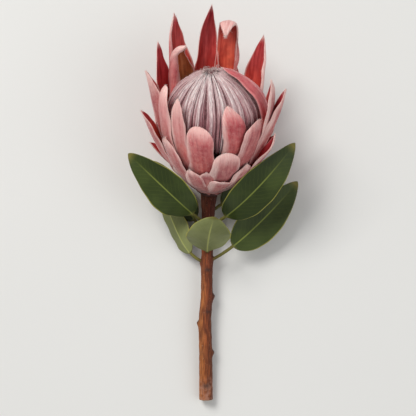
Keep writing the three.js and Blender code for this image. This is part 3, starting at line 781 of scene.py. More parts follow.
# %% Bract inside
bract_inside, tree, shader, streaks, _, (edge, reach, _), (frost, warm, olive) = bract_finish(
    "bract_inside", 0.5, 0.0)
high = streaked((122, 4, 22), (190, 32, 50))
plain_low = streaked((176, 34, 38), (218, 74, 66))
warm_low = streaked((192, 56, 42), (228, 98, 72))
green = streaked((196, 96, 50), (250, 172, 108))
reddish = tree.math("SUBTRACT", tree.fade(reach, 0.4, 0.9), tree.times(warm, 0.5))
at_edge = tree.times(tree.fade(edge, 0.86, 1.0), tree.fade(reach, 0.3, 0.6))
at_tip = tree.times(tree.fade(reach, 0.93, 1.0), frost)
colour = tree.layered(
    tree.mix(reddish, tree.mix(warm, plain_low, warm_low), high),
    (tree.times(olive, tree.fade(reach, 0.97, 0.86)), 1, green),
    (tree.fade(reach, 0.45, 0.2), 1, rgb(120, 92, 34)),
    (blotched(tree, 7.0), 0.25, rgb(96, 10, 20)),
    (tree.times(streaks, tree.fade(reach, 0.55, 0.95)), 0.35, rgb(204, 96, 108)),
    (tree.math("MAXIMUM", at_edge, at_tip), 0.85, rgb(226, 176, 168)))
surfaced(tree, shader, colour, streaks, 0.2)

receptacle_skin = patchy("receptacle_skin", 0.7, 3.0, rgb(58, 22, 20), rgb(104, 48, 40), bumps=0.5)

# %% [markdown]
# ## The dome's form
# The bracts stand close round the dome of florets, so its form comes first: half an ellipse above its
# widest ring and a fuller curve below. It could be a sphere, scaled, but as a function it also says
# how far any place is from the dome, which keeps the bracts out of it.

# %% The dome's form
DOME_RADIUS, DOME_CENTRE, DOME_RISE, DOME_DROP = 44, 86, 36, 46
DOME_FULLNESS = 2.6  # below its widest ring; 2 would be an ellipse
CUP_FLOOR = 48


def dome_radius(height):
    rise = height - DOME_CENTRE
    above = np.sqrt((1 - (rise / DOME_RISE) ** 2).clip(0)) * (rise > 0)
    below = (1 - (-rise / DOME_DROP).clip(0) ** DOME_FULLNESS).clip(0) ** (1 / DOME_FULLNESS)
    return DOME_RADIUS * (above + below * (rise <= 0))


def dome_distance(radius, height):
    beside = radius - dome_radius(np.maximum(height, CUP_FLOOR))
    over = (np.hypot(radius / DOME_RADIUS, (height - DOME_CENTRE) / DOME_RISE) - 1) * DOME_RISE
    return np.where(height < DOME_CENTRE, beside, over)


print("The dome's radius at the cup's floor:", dome_radius(np.array([CUP_FLOOR])).round(1), "mm")

# %% [markdown]
# ## The receptacle
# The bracts grow from a woody cup that widens upwards, and only shows in gaps. Spin would turn it
# from its outline. Here each row reads its radius from the outline, so that the bracts can read
# from it too where they are rooted, and ripples keep it from looking turned on a lathe.

# %% Receptacle
RECEPTACLE = [(-1.5, 7.2), (0.3, 8), (4, 13), (13, 19), (25, 25), (36, 29), (44, 31), (48, 29)]
UP = np.array([0, 1, 0])

rows = np.r_[-1.5, np.linspace(-1.4, 48, 40), 48]
turns = np.linspace(0, 2 * np.pi, 48, endpoint=False)
width = np.interp(rows, *zip(*RECEPTACLE))
width[[0, -1]] = 0
ways = np.stack([np.sin(turns), np.zeros_like(turns), np.cos(turns)], -1)
rings = ways[None] * width[:, None, None] + rows[:, None, None] * UP
rings += ways[None] * (0.5 * ripple(rings, 5, 5) * (width > 0)[:, None])[..., None]
receptacle = rolled("receptacle", laid(from_head(rings))[None], [receptacle_skin])
settle(receptacle, "bract")

# %% [markdown]
# ## A table of bracts
# They grow in rows, the outer ones low and short, the inner ones high and close round the dome. All
# are made the same way, but no two look the same, so each has a line in a table. The places and
# widths say where it stands. The words after them say what sets it apart, and are only given where
# a bract differs from the usual. The smallest ones are scales at the neck.

# %% The rows of bracts
# Rows from the foot upwards: height of the root, then each bract: degrees round the head, tip's
# radius, tip's height, half width, degrees that the tip leans outwards, how blunt it is, and what
# sets it apart: swing and twist in degrees, reach of its root's curve, fold of its halves along
# the middle, roll of its margins and where it starts (roll_from), hook of its tip, lift off the
# dome, and its looks: frost (white silk), warm (orange low down), tint (silver), olive (green
# inside) and tufted (longer hair at the tip).
BRACT_ROWS = [
    (5, [(-21, 42, 39, 8.5, 30, 0.3, dict(swing=-10, reach=0.6, frost=1, tint=1)),
         (-6, 39, 39, 9.5, 26, 0.3, dict(swing=-2, reach=0.58, frost=0.7, tint=1, roll=(40, 10))),
         (16, 39, 29.5, 12, 58, 0.7, dict(reach=0.64, frost=1, tint=1)),
         (41, 46.5, 45.5, 10.5, 34, 0.3, dict(swing=7, reach=0.6, frost=1, tint=1, hook=30)),
         (92, 40, 34, 11, 40, 0.5), (136, 38, 32, 11, 42, 0.6),
         (178, 36, 32, 11, 40, 0.6), (-136, 40, 33, 11, 40, 0.5),
         (-92, 40, 33, 11, 38, 0.5),
         (-58, 37, 34, 9, 28, 0.5, dict(reach=0.55, frost=0.6))]),
    (10, [(15.5, 47.5, 61, 13.5, 2, 1,
           dict(reach=0.3, tint=0.75, warm=0, roll=(10, 18), frost=1.15, hook=24)),
          (-48, 53, 67, 11.5, 8, 0.4, dict(swing=-8, reach=0.4, frost=1, tint=0.8, roll=(4, 30))),
          (-98, 58, 45, 8, 50, 0.1, dict(twist=34, fold=30)),
          (60, 65, 74, 8.5, 36, 0.1,
           dict(twist=48, fold=34, reach=0.42, hook=40, frost=1, warm=0)),
          (92, 55, 62, 9, 36, 0.3), (124, 56, 56, 12, 28, 0.3),
          (180, 50, 54, 12, 22, 0.4), (-130, 56, 56, 12, 28, 0.3)]),
    (16, [(-13, 49.5, 85, 14, -3, 1,
           dict(reach=0.26, tint=0.4, roll=(40, 10), frost=0.7, hook=30, warm=0.7, swing=-6)),
          (33, 42.5, 105, 12.8, -15, 0.5,
           dict(reach=0.26, swing=-16, tint=0.1, warm=0.9, roll=(34, 22), frost=0.6, hook=12)),
          (-72, 70, 89, 11.5, 28, 0.1, dict(twist=35, fold=30, frost=1)),
          (110, 62, 84, 12, 14, 0.2), (152, 80, 68, 12, 52, 0.2),
          (-152, 82.6, 68, 12, 52, 0.2), (180, 56, 84, 13, 10, 0.3),
          (-112, 62, 84, 12, 14, 0.2)]),
    (22, [(46.5, 51.5, 90, 16.5, -3, 0.9,
           dict(reach=0.28, tint=0.7, frost=0.5, swing=6, roll=(8, 22), hook=20, warm=0.35)),
          (-40, 50.5, 106.5, 8.5, -8, 0.45,
           dict(reach=0.28, tint=0.5, frost=1.35, warm=1, roll=(30, 24), swing=-2)),
          (67, 66, 117, 11.5, 16, 0.1, dict(twist=34, fold=40, frost=0.9, tint=0.5)),
          (136, 57, 100, 13, 4, 0.3), (166, 56, 102, 13, 4, 0.3),
          (-166, 56, 102, 13, 4, 0.3), (-138, 57, 100, 13, 4, 0.3),
          (-76, 65, 123, 12.5, 14, 0.3, dict(twist=12, fold=42, frost=1, tint=0.9))]),
    (28, [(-61, 56, 114, 11.5, -3, 0.8,
           dict(tint=0.1, frost=1.35, roll=(40, 46), hook=24, warm=1)),
          (61, 56, 126, 7.5, -4, 0.5, dict(tint=0.6, frost=1, roll=(24, 24), hook=10, warm=0.5)),
          (-114.5, 62, 135.5, 14, 10, 0.1, dict(roll=(10, 20), frost=1, warm=0)),
          (134, 57, 144.5, 17, 7, 0.1, dict(roll=(100, 10), frost=1, warm=0.5)),
          (103, 52, 108, 11, 2, 0.5)]),
    (34, [(-137, 61, 158.6, 18, 5, 0.1, dict(swing=5, roll=(10, 160), frost=1, tufted=1.5)),
          (-166, 55, 169, 14, 3, 0.1, dict(roll=(10, 10), fold=14, hook=20, frost=0.8, warm=0)),
          (160, 46, 138, 8, -3, 0.2, dict(twist=140, lift=5, tint=1, frost=0.3)),
          (-88, 50, 98, 9, -4, 0.6)]),
    (40, [(-131, 50, 145, 23, -4, 0.35,
           dict(swing=11, roll=(70, 165), roll_from=0, hook=64,
                frost=1.2, warm=1, olive=1, tufted=2)),
          (169, 50, 178, 12, -6, 0.5,
           dict(roll=(90, 24), hook=135, lift=0.4, frost=0.8, warm=0.8, tufted=5)),
          (79, 3, 124, 11.5, -88, 0.2,
           dict(swing=-26, tint=0, frost=0.2, warm=0, roll=(10, 10), lift=1.5))]),
]
SCALE_COUNT, SCALE_TURN, SCALE_ROOT = 14, 25.7, 2.5
SCALES = [(SCALE_TURN * k + 9, 22, 15, 6, 44, 0.4, dict(reach=0.6)) for k in range(SCALE_COUNT)]
print("Bracts in the rows:", sum(len(bracts) for _, bracts in BRACT_ROWS), "and scales:", len(SCALES))

# %% [markdown]
# ## A bract's middle line
# It is a Bezier curve in the plane through the head's axis: out from the receptacle, round the belly
# of the head, and up beside the dome. Where the curve would run into the dome it is pushed out, as
# the florets push a real bract. The tip may hook over towards the dome.

# %% A bract's middle line
ROOT_SUNK, ROOT_ANGLE, ROOT_REACH, TIP_REACH = 4, 64, 0.44, 0.36
BELLY_OUTER, BELLY_STEP = 54, 0.19
DOME_STANDOFF = 2.5
HOOK_FROM = 0.74


def way(degrees):
    return np.array([math.sin(math.radians(degrees)), math.cos(math.radians(degrees))])


def pushed_out(radius, height, lift):
    """The line's radius and height, kept clear of the dome."""
    short = np.where(height < CUP_FLOOR - ROOT_SUNK, 0,
                     (DOME_STANDOFF + lift - dome_distance(radius, height)).clip(0))
    beside = height < DOME_CENTRE
    grow = 1 + np.where(beside, 0, short / (DOME_STANDOFF + lift - short + DOME_RISE))
    return (np.where(beside, radius + short, radius * grow),
            np.where(beside, height, DOME_CENTRE + (height - DOME_CENTRE) * grow))


def bract_line(root_height, tip_radius, tip_height, lean, root_reach, hook, lift, share):
    """The middle line as radius and height, and its directions."""
    root = np.array([np.interp(root_height, *zip(*RECEPTACLE)) - ROOT_SUNK, root_height])
    tip = np.array([tip_radius, tip_height])
    belly = BELLY_OUTER - BELLY_STEP * root_height
    reach = min(np.linalg.norm(tip - root) * root_reach,
                (belly - root[0]) / math.sin(math.radians(ROOT_ANGLE)))
    out = root + way(ROOT_ANGLE) * reach
    back = tip - way(lean) * np.linalg.norm(tip - out) * TIP_REACH
    at, _ = bezier((root, out, back, tip), share)
    radius, height = pushed_out(*at.T, lift)
    steps = np.diff(np.stack([radius, height], 1), axis=0)
    bend = math.radians(hook) * ease((share[1:] + share[:-1]) / 2, HOOK_FROM, 1)
    turned = np.stack([steps[:, 0] * np.cos(bend) - steps[:, 1] * np.sin(bend),
                       steps[:, 0] * np.sin(bend) + steps[:, 1] * np.cos(bend)], 1)
    at = np.vstack([[radius[0], height[0]], [radius[0], height[0]] + np.cumsum(turned, 0)])
    return at, unit(np.gradient(at, axis=0))


tried, _ = bract_line(10, 50, 60, 0, ROOT_REACH, 0, 0, np.linspace(0, 1, 9))
print("A bract of the second row starts at", tried[0].round(1), "and ends at", tried[-1].round(1))

# %% [markdown]
# ## A bract's cross-sections
# Across, a bract is cupped: it is bent round the dome where it lies on it, and more tightly where it
# stands free. Each half may also fold up from the middle and roll in at its margin, by its own
# amount. So a half is laid out step by step from the middle, and each step turns a little further.

# %% A bract's cross-sections
BRACT_HALF = np.array([0, 0.2, 0.4, 0.56, 0.69, 0.8, 0.88, 0.94, 0.985, 1])
BRACT_INSIDE, BRACT_LOOP, BRACT_SIDE = loop_round(BRACT_HALF)
PLACE_IN_HALF = np.abs(np.abs(BRACT_LOOP)[:, None] - BRACT_HALF).argmin(1)
TIP_WRAP, FREE_AT = 20, 15  # radius that a free blade is bent round, and how far off it is free
WRAP_FROM, WRAP_TO = DOME_CENTRE - 30, DOME_CENTRE + 10
TIP_HALF = 0.35


def bract_wrap(at):
    """Radius that the blade is bent round at each row."""
    free = (dome_distance(*at.T) / FREE_AT).clip(0, 1)
    round_head = np.where(at[:, 1] < DOME_CENTRE, at[:, 0], np.maximum(at[:, 0], DOME_RADIUS))
    wrap = mixed(round_head, TIP_WRAP, free * ease(at[:, 1], WRAP_FROM, WRAP_TO))
    return np.maximum(wrap, TIP_WRAP)[:, None]


def bract_width(half, blunt, share):
    """Half width at each row: widening to the middle, then narrowing to a blunt or slim tip."""
    start = mixed(0.6, 0.8, blunt)
    t = ((share - start) / (1 - start)).clip(0, 1)
    narrowing = (1 - t ** (1.2 + blunt)) ** (1 / (1 + blunt))
    return np.maximum(half * mixed(0.62, 1, ease(share, 0, 0.5)) * narrowing, TIP_HALF)[:, None]


def half_section(width, wrap, fold, roll, roll_from):
    """From the middle to a margin: places across and inwards, and how far the blade has turned."""
    bend = BRACT_HALF * width / wrap + fold * ease(BRACT_HALF, 0, 0.3)
    bend = bend + roll * ease(BRACT_HALF, roll_from, 1) ** 1.5
    middle = (bend[:, 1:] + bend[:, :-1]) / 2
    step = np.diff(BRACT_HALF) * width
    zero = np.zeros_like(width)
    return (np.concatenate([zero, np.cumsum(np.cos(middle) * step, 1)], 1)[:, PLACE_IN_HALF],
            np.concatenate([zero, np.cumsum(np.sin(middle) * step, 1)], 1)[:, PLACE_IN_HALF],
            bend[:, PLACE_IN_HALF])


print("Points round a bract:", len(BRACT_LOOP))

# %% [markdown]
# ## A bract's ways, margins and crumples
# At each row a bract needs its way across and its way inwards, which swing round the head and twist
# as it rises. Real margins are ragged, so soft ripples run along each one, and finer ripples over
# the blade give the crumpled look of leather. Sculpting would do it for one bract, ripples do for all.

# %% Ways, margins and crumples
SWING_CHANCE, TWIST_CHANCE = 1.5, 4  # degrees
RAGGED = [(0.09, 45, 3), (0.035, 11, 7)]  # share of the width, size in millimetres, seed
# Height in millimetres, stretch, size, seed, and the power by which it grows to the margin.
CRUMPLES = [(1.0, (1, 0.6, 1), 17, 17, 1), (0.16, (1, 0.1, 1), 3, 23, 0),
            (0.8, (0.8, 0.4, 1), 9, 29, 3)]


def bract_axes(at, heading, share, around, swing, twist, draw):
    """Each row's place on the middle line, and the ways across the bract and inwards."""
    angle = np.radians(around + (swing + draw.normal(0, SWING_CHANCE)) * share**2)
    out = np.stack([np.sin(angle), 0 * angle, np.cos(angle)], 1)
    side = np.stack([np.cos(angle), 0 * angle, -np.sin(angle)], 1)
    inner = out * -heading[:, 1:] + UP * heading[:, :1]
    twist = twist * np.sign(around) + draw.normal(0, TWIST_CHANCE)
    turned = (np.radians(twist) * ease(share, 0.2, 1))[:, None]
    return (out * at[:, :1] + UP * at[:, 1:],
            side * np.cos(turned) + inner * np.sin(turned),
            inner * np.cos(turned) - side * np.sin(turned))


def ragged_margins(share, length, seed):
    """How much wider or narrower than smooth the left and the right half are."""
    for margin in (0, 90):
        along = np.stack([length * share, 0 * share, 0 * share + seed + margin], 1)[:, None]
        yield sum((part * ripple(along, size, number) for part, size, number in RAGGED), 1)


def bract_relief(grain_at, size):
    """Crumples in millimetres, from the places on the blade and how near the margin they are."""
    return sum(height * ripple(grain_at * stretch, across, number) * size**power
               for height, stretch, across, number, power in CRUMPLES)


tried = bract_relief(np.arange(300.0).reshape(-1, 3), np.ones(100))
print("Crumples at a margin:", tried.min().round(2), "to", tried.max().round(2), "mm")

# %% [markdown]
# ## One bract
# Its loops of points go up the middle line. The inner and outer sides meet in a thin margin, and a
# keel runs up the middle of the slim ones. Chance adds a little to each one's hook and roll, as it
# did to swing and twist, so that no two are quite alike.

# %% One bract
BRACT_STEPS = 40
BRACT_THICK = (0.6, 0.28)  # half thickness at the middle and near the margin
HOOK_CHANCE, ROLL_CHANCE = (-6, 12), (0.8, 1.2)  # degrees, and times as much
KEEL_HEIGHT, KEEL_HALF = 0.5, 0.2


def bract_rings(root_height, around, tip_radius, tip_height, half, lean, blunt, draw, swing=0,
                twist=0, reach=ROOT_REACH, fold=0, roll=(12, 12), roll_from=0.5, hook=0, lift=0):
    """Points of one bract in the head's frame, with no two bracts quite alike."""
    share = 1 - (1 - np.linspace(0, 1, BRACT_STEPS)) ** 1.6
    hook = hook + draw.uniform(*HOOK_CHANCE)
    at, heading = bract_line(root_height, tip_radius, tip_height, lean, reach, hook, lift, share)
    middle, side, inner = bract_axes(at, heading, share, around, swing, twist, draw)
    width = bract_width(half, blunt, share)
    seed = draw.uniform(0, 400)
    folded = np.radians(fold) * ease(share, 0.2, 0.6)[:, None]
    rolled_in = np.radians(roll * draw.uniform(*ROLL_CHANCE, 2)) * ease(share, 0.3, 0.75)[:, None]
    halves = [half_section(width * edge, bract_wrap(at), folded, amount, roll_from) for edge, amount
              in zip(ragged_margins(share, tip_height * 1.1, seed), rolled_in.T[:, :, None])]
    across, inward, bend = (np.where(BRACT_LOOP > 0, r, l) for l, r in zip(*halves))
    size = np.abs(BRACT_LOOP)[None]
    thick = mixed(*BRACT_THICK, size**2) * (size < 1) * mixed(1, 0.6, ease(share, 0.85, 1))[:, None]
    grain_at = together(BRACT_LOOP * width, run_along(at)[:, None], seed)
    keel = KEEL_HEIGHT * np.exp(-(size / KEEL_HALF) ** 2)
    keel = keel * ease(share, 0.35, 0.8)[:, None] * (1 - blunt)
    inward = inward + BRACT_SIDE * thick * np.cos(bend) - bract_relief(grain_at, size) - keel
    across = np.sign(BRACT_LOOP) * (across - BRACT_SIDE * thick * np.sin(bend))
    points = middle[:, None] + inner[:, None] * inward[..., None] + side[:, None] * across[..., None]
    points[0], points[-1] = middle[0], middle[-1]
    return points, grain_at, size, share


tried, *_ = bract_rings(10, 15, 47, 61, 13, 2, 1, np.random.default_rng(0))
print("A bract's points, row by round by xyz:", tried.shape)

# %% [markdown]
# ## Fine hair
# A king protea is downy: short silky hairs lie on its bracts and stand along their margins. One
# hair is modelled once, a slim three-sided cone with a cut across its middle so that it can bend.
# Its points and faces are kept, and the object itself is not needed any more.

# %% One hair
bpy.ops.object.select_all(action="DESELECT")
bpy.ops.mesh.primitive_cone_add(vertices=3, radius1=1, radius2=0, depth=1, location=(0, 0, 0.5))
bpy.ops.object.transform_apply(location=True)
bpy.ops.object.mode_set(mode="EDIT")
bpy.ops.mesh.select_all(action="SELECT")
bpy.ops.mesh.bisect(plane_co=(0, 0, 0.5), plane_no=(0, 0, 1))
bpy.ops.object.mode_set(mode="OBJECT")
hair = bpy.context.object
HAIR_POINTS = np.array([v.co[:] for v in hair.data.vertices])
HAIR_FACES = [tuple(face.vertices) for face in hair.data.polygons]
bpy.data.objects.remove(hair)
print("One hair:", len(HAIR_POINTS), "points,", len(HAIR_FACES), "faces")

# %% [markdown]
# ## Planting the hair
# The hair is copied to thousands of roots at once, each copy with its own direction, length and
# droop. A particle system would plant them too, but these are plain meshes, which the model keeps.
# Hairs that would touch the floor are left out.

# %% A way to plant hair
FLOOR_CLEAR = 0.6  # millimetres


def planted(name, roots, ways, lengths, thickness, droop, look):
    """Hairs from roots along ways, all in millimetres and laid down already."""
    above = (roots[:, 2] > FLOOR_CLEAR) & (roots[:, 2] + ways[:, 2] * lengths > FLOOR_CLEAR)
    roots, ways, lengths = roots[above], unit(ways[above]), lengths[above]
    side = unit(np.cross(ways, ways[:, [1, 2, 0]] + 0.01))
    other = np.cross(ways, side)
    x, y, z = HAIR_POINTS.T
    thin = thickness * (1 - 0.25 * z)
    points = (roots[:, None] + (lengths[:, None] * z)[..., None] * ways[:, None]
              + (thin * x)[None, :, None] * side[:, None] + (thin * y)[None, :, None] * other[:, None])
    points += (z**2)[None, :, None] * (droop * lengths)[:, None, None] * other[:, None]
    step = len(HAIR_POINTS)
    faces = [tuple(i + k * step for i in face) for k in range(len(roots)) for face in HAIR_FACES]
    mesh = bpy.data.meshes.new(name)
    mesh.from_pydata((points.reshape(-1, 3) * MM).tolist(), [], faces)
    mesh.materials.append(look)
    print(f"{name}: {len(roots)} hairs, {len(faces)} faces")
    return placed(name, mesh)


white_down = patchy("white_down", 0.5, 8.0, rgb(226, 196, 190), rgb(244, 230, 224), sheen=0.3)

# %% [markdown]
# ## Where a bract's hairs grow
# Three kinds grow on each bract: a fringe along its upper margins, a tuft at the tip, and down that
# lies flat on the outside and points to the tip. They could be scattered over the whole finished
# mesh, but margins and tips are easy to find only while one bract's rows of points are at hand.

# %% Roots of the hairs
FRINGE_PER_BRACT, DOWN_PER_BRACT, TUFT_AT_TIP = 110, 110, 90
FRINGE_SCATTER, TUFT_SCATTER, DOWN_SCATTER = 0.3, 0.5, 0.12
FRINGE_SUNK = 0.1  # millimetres
OPPOSITE = np.array([int(np.argmin(np.abs(BRACT_INSIDE - a))) for a in BRACT_LOOP])


def fringe(points, onward, share, frost, chance):
    """Roots, ways and lengths of the hairs that stand along the two margins."""
    step = np.sort(chance.integers(4, BRACT_STEPS - 3, FRINGE_PER_BRACT))
    margin = chance.choice([0, len(BRACT_INSIDE) - 1], FRINGE_PER_BRACT)
    inwards = np.where(margin == 0, 1, margin - 1)
    root = mixed(points[step, margin], points[step + 1, margin], chance.random((FRINGE_PER_BRACT, 1)))
    sideways = unit(points[step, margin] - points[step, inwards])
    scatter = chance.normal(0, FRINGE_SCATTER, (FRINGE_PER_BRACT, 3))
    lengths = chance.uniform(0.7, 1.4 + frost, FRINGE_PER_BRACT) * ease(share[step], 0.1, 0.6)
    ways = sideways * 0.8 + onward[step - 1, margin] * 0.9 + scatter
    return root - FRINGE_SUNK * sideways, ways, lengths


def tuft(points, onward, frost, tufted, chance):
    """The same for the hairs at the tip: the silkier the bract, the more of them."""
    count = int(TUFT_AT_TIP * frost * tufted)
    step = BRACT_STEPS - 2 - np.floor(7 * chance.random(count) ** 2).astype(int)
    column = chance.integers(0, len(BRACT_LOOP), count)
    ways = onward[step - 1, column] + chance.normal(0, TUFT_SCATTER, (count, 3))
    return points[step, column], ways, chance.uniform(0.9, 2 + 0.5 * tufted, count)


def lying_down(points, onward, chance):
    """The same for the hairs that lie on the outside."""
    step = chance.integers(6, BRACT_STEPS - 2, DOWN_PER_BRACT)
    column = chance.integers(len(BRACT_INSIDE), len(BRACT_LOOP) - 1, DOWN_PER_BRACT)
    a, b = chance.random((2, DOWN_PER_BRACT, 1))
    root = mixed(mixed(points[step, column], points[step + 1, column], a),
                 mixed(points[step, column + 1], points[step + 1, column + 1], a), b)
    out = unit(points[step, column] - points[step, OPPOSITE[column]])
    scatter = chance.normal(0, DOWN_SCATTER, (DOWN_PER_BRACT, 3))
    ways = onward[step - 1, column] + 0.22 * out + scatter
    return root, ways, chance.uniform(1.0, 2.4, DOWN_PER_BRACT)


print("Hairs on a bract, without its tuft:", FRINGE_PER_BRACT + DOWN_PER_BRACT)

# %% [markdown]
# ## Growing the head's bracts
# Each bract has its own seed, so that a change to one leaves the others as they are. Its looks come
# from the table or from chance, and its tint from its row: the low, outer ones are the most silver.
# Where the floor would cut one, that row of its points is lifted, as the floor bends a real one up.

# %% Bracts
ROW_TINTS = [0.9, 0.8, 0.5, 0.4, 0.25, 0.4, 0.3, 0.35]
FLOOR_GAP = 0.05  # millimetres
PLACES = 6  # numbers in a bract's line before the words that set it apart

tubes, grains, shares, looks_of, hairs = [], [], [], [], []
for row, (root_height, bracts) in enumerate([(SCALE_ROOT, SCALES), *BRACT_ROWS]):
    for number, bract in enumerate(bracts):
        places, apart = bract[:PLACES], dict(*bract[PLACES:])
        chance = np.random.default_rng(100 * row + number)
        looks = dict(tint=np.clip(ROW_TINTS[row] + chance.normal(0, 0.12), 0, 1),
                     frost=chance.uniform(0.2, 0.6), warm=chance.uniform(0.1, 0.5),
                     olive=chance.uniform(0, 0.1), tufted=1)
        form = {word: value for word, value in apart.items() if word not in looks}
        looks.update({word: value for word, value in apart.items() if word in looks})
        tint, frost, warm, olive, tufted = looks.values()
        points, grain_at, size, share = bract_rings(root_height, *places, chance, **form)
        points = laid(from_head(points)) / MM
        points[..., 2] += (FLOOR_GAP - points[..., 2].min(1)).clip(0)[:, None]
        tubes.append(points)
        grains.append(grain_at)
        shares.append(together(size, share[:, None], tint))
        looks_of.append(np.broadcast_to([frost, warm, olive], grain_at.shape))
        if row > 0:
            onward = unit(np.gradient(points[1:-1], axis=0))
            hairs += [fringe(points, onward, share, frost, chance),
                      tuft(points, onward, frost, tufted, chance),
                      lying_down(points, onward, chance)]
print("Bracts and scales grown:", len(tubes))

# %% [markdown]
# ## The rosette and its down
# The bracts are one mesh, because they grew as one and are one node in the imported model. A face of a
# bract is inside or outside, which decides its finish. The down is a piece of its own, so that the
# bracts can be edited without it.

# %% The rosette and its down
BRACT_HAIR_HALF, BRACT_HAIR_DROOP = 0.055, 0.12  # half thickness, and droop as a share of length

rosette = rolled("bract_rosette", np.array(tubes) * MM, [bract_inside, bract_outside],
                 lower_faces(BRACT_SIDE, BRACT_INSIDE), grain_at=np.array(grains),
                 share=np.array(shares), own=np.array(looks_of))
settle(rosette, "bract", "bracts")
bract_hair = planted("bract_down", *(np.concatenate(part) for part in zip(*hairs)),
                     BRACT_HAIR_HALF, BRACT_HAIR_DROOP, white_down)
settle(bract_hair, "bract")

# %% [markdown]
# ## The florets' finish
# The middle of the head is hundreds of long closed florets, leaning together into a dome. They lie
# in bundles, so the dome is pleated, and they are covered with silver silk. Between the bundles and
# deep in the creases the finish paints mauve and dark maroon shade, over the shade that the light
# gives there. `share` holds: crest or crease of the bundle, how far down the dome, and how mauve the
# floret is.

# %% Floret finish
floret_silk, tree, shader = finish_named("floret_silk", 0.55, 0.4, 0.3, 0.05)
crest, drop, tint = tree.values("share")
silk = grained(tree, 1.4, 0.16, 0.2)
pale = tree.mix(silk, rgb(184, 160, 162), rgb(246, 234, 231))
mauve = tree.mix(silk, rgb(154, 94, 102), rgb(210, 162, 162))
# More mauve lower down the dome, and fully mauve in the creases, where it is painted shade.
low_down = tree.times(tree.fade(drop, 0.3, 0.7), tree.fade(crest, 1.0, 0.6, 0.4, 1.0))
# Painted shade between the bundles, stronger lower down.
between = tree.times(tree.fade(crest, 0.8, 0.3), tree.fade(drop, 0.06, 0.3, 0.1, 0.8))
# Painted shade, darkest deep in the creases.
deep = tree.times(tree.fade(crest, 0.3, 0.0), tree.fade(drop, 0.15, 0.4))
colour = tree.layered(
    tree.mix(low_down, pale, mauve),
    (tint, 0.5, rgb(160, 92, 98)),
    (between, 1, rgb(144, 84, 92)),
    (deep, 0.85, rgb(98, 44, 48)))
surfaced(tree, shader, colour, silk, 0.12)
floret_shade = patchy("floret_shade", 0.9, 4.0, rgb(86, 46, 50), rgb(122, 78, 82))

# %% [markdown]
# ## A place on the dome
# Each floret runs over the dome like a line of longitude on a globe, so a place is given as on a
# globe: degrees down from where the florets meet, and degrees round. The meeting point sits a little
# left of the top, and above its widest ring the dome is slimmer than an ellipse.

# %% A place on the dome
POLE_SHIFT = 12  # degrees that the florets' meeting point sits left of the dome's top
SHOULDER = 0.13  # how much slimmer than an ellipse the dome is above its widest ring


def turned_by(first, second, angle):
    return (first * np.cos(angle) - second * np.sin(angle),
            first * np.sin(angle) + second * np.cos(angle))


def dome_point(down, around, depth):
    """Degrees down from where the florets meet, degrees round, and depth below the surface."""
    polar, angle = np.radians(down), np.radians(around)
    x, y, z = np.sin(polar) * np.sin(angle), np.cos(polar), np.sin(polar) * np.cos(angle)
    x, y = turned_by(x, y, np.radians(POLE_SHIFT) * (1 - down / 90).clip(0, 1))
    upper = y >= 0
    steep = np.where(upper, np.sqrt(1 - y.clip(0, 1) ** 2) ** SHOULDER, 1)
    x, z, y = x * steep, z * steep, np.where(upper, y.clip(0) ** (1 + SHOULDER), y)
    height = np.where(upper, DOME_CENTRE + y * (DOME_RISE - depth),
                      np.maximum(DOME_CENTRE + y * DOME_DROP, CUP_FLOOR + 0.3))
    low = dome_radius(height) - depth
    wide = np.where(upper, x * (DOME_RADIUS - depth), low * np.sin(angle))
    deep = np.where(upper, z * (DOME_RADIUS - depth), low * np.cos(angle))
    return np.stack([wide, height, deep], -1)


print("The florets meet at", dome_point(np.array(0.0), 0, 0).round(1), "in the head's frame")

# %% [markdown]
# ## Bundles and creases
# The florets stand in 28 bundles of unequal width, with a crease between two bundles that is deeper
# or shallower by turns. Within a bundle they stand side by side, and three low ridges run up it.
# Some bundles sink a little, and no floret lies quite straight.

# %% Bundles and creases
BUNDLES, PER_BUNDLE = 28, 12
RIDGES_PER_BUNDLE = 3

count = BUNDLES * PER_BUNDLE
chance = np.random.default_rng(11)
turns = np.arange(BUNDLES)
widths = 1 + 0.6 * np.sin(2.4 * turns + 1)
edges = np.r_[0, np.cumsum(widths)] * 360 / widths.sum()
bundle = np.repeat(np.arange(BUNDLES), PER_BUNDLE)
off = np.tile(np.linspace(-0.46, 0.46, PER_BUNDLE), BUNDLES) + chance.uniform(-0.03, 0.03, count)
crest_turn = (edges[bundle] + edges[bundle + 1]) / 2
pitch = edges[bundle + 1] - edges[bundle]
depth_of = 0.8 + 0.45 * np.sin(1.7 * np.r_[turns, 0])  # of the crease before each bundle
crease = np.where(off < 0, depth_of[bundle], depth_of[bundle + 1])
sink = (0.55 + 0.55 * np.sin(3.1 * turns + 2))[bundle]
beside_ridge = np.abs((off + 0.5) * RIDGES_PER_BUNDLE % 1 - 0.5) * 2  # 0 on a ridge, 1 between two
to_crease = np.abs(off) / 0.5  # 0 at the bundle's middle, 1 at its edge
print("Bundles from", widths.min().round(2), "to", widths.max().round(2), "times the usual width")

# %% [markdown]
# ## Where each floret lies
# A floret starts in the cup and ends near the meeting point, where there is room for it. It wobbles,
# and its bundle sways low down. Its depth makes the pleats: deep in a crease, less between ridges,
# and uneven where the tips crowd at the top.

# %% Lines of the florets
FLORET_ROWS = 13
LOWEST = 140  # degrees down
PLEAT_DEPTH, RIDGE_DEPTH, LEAST_DEPTH = 4, 0.9, 0.6

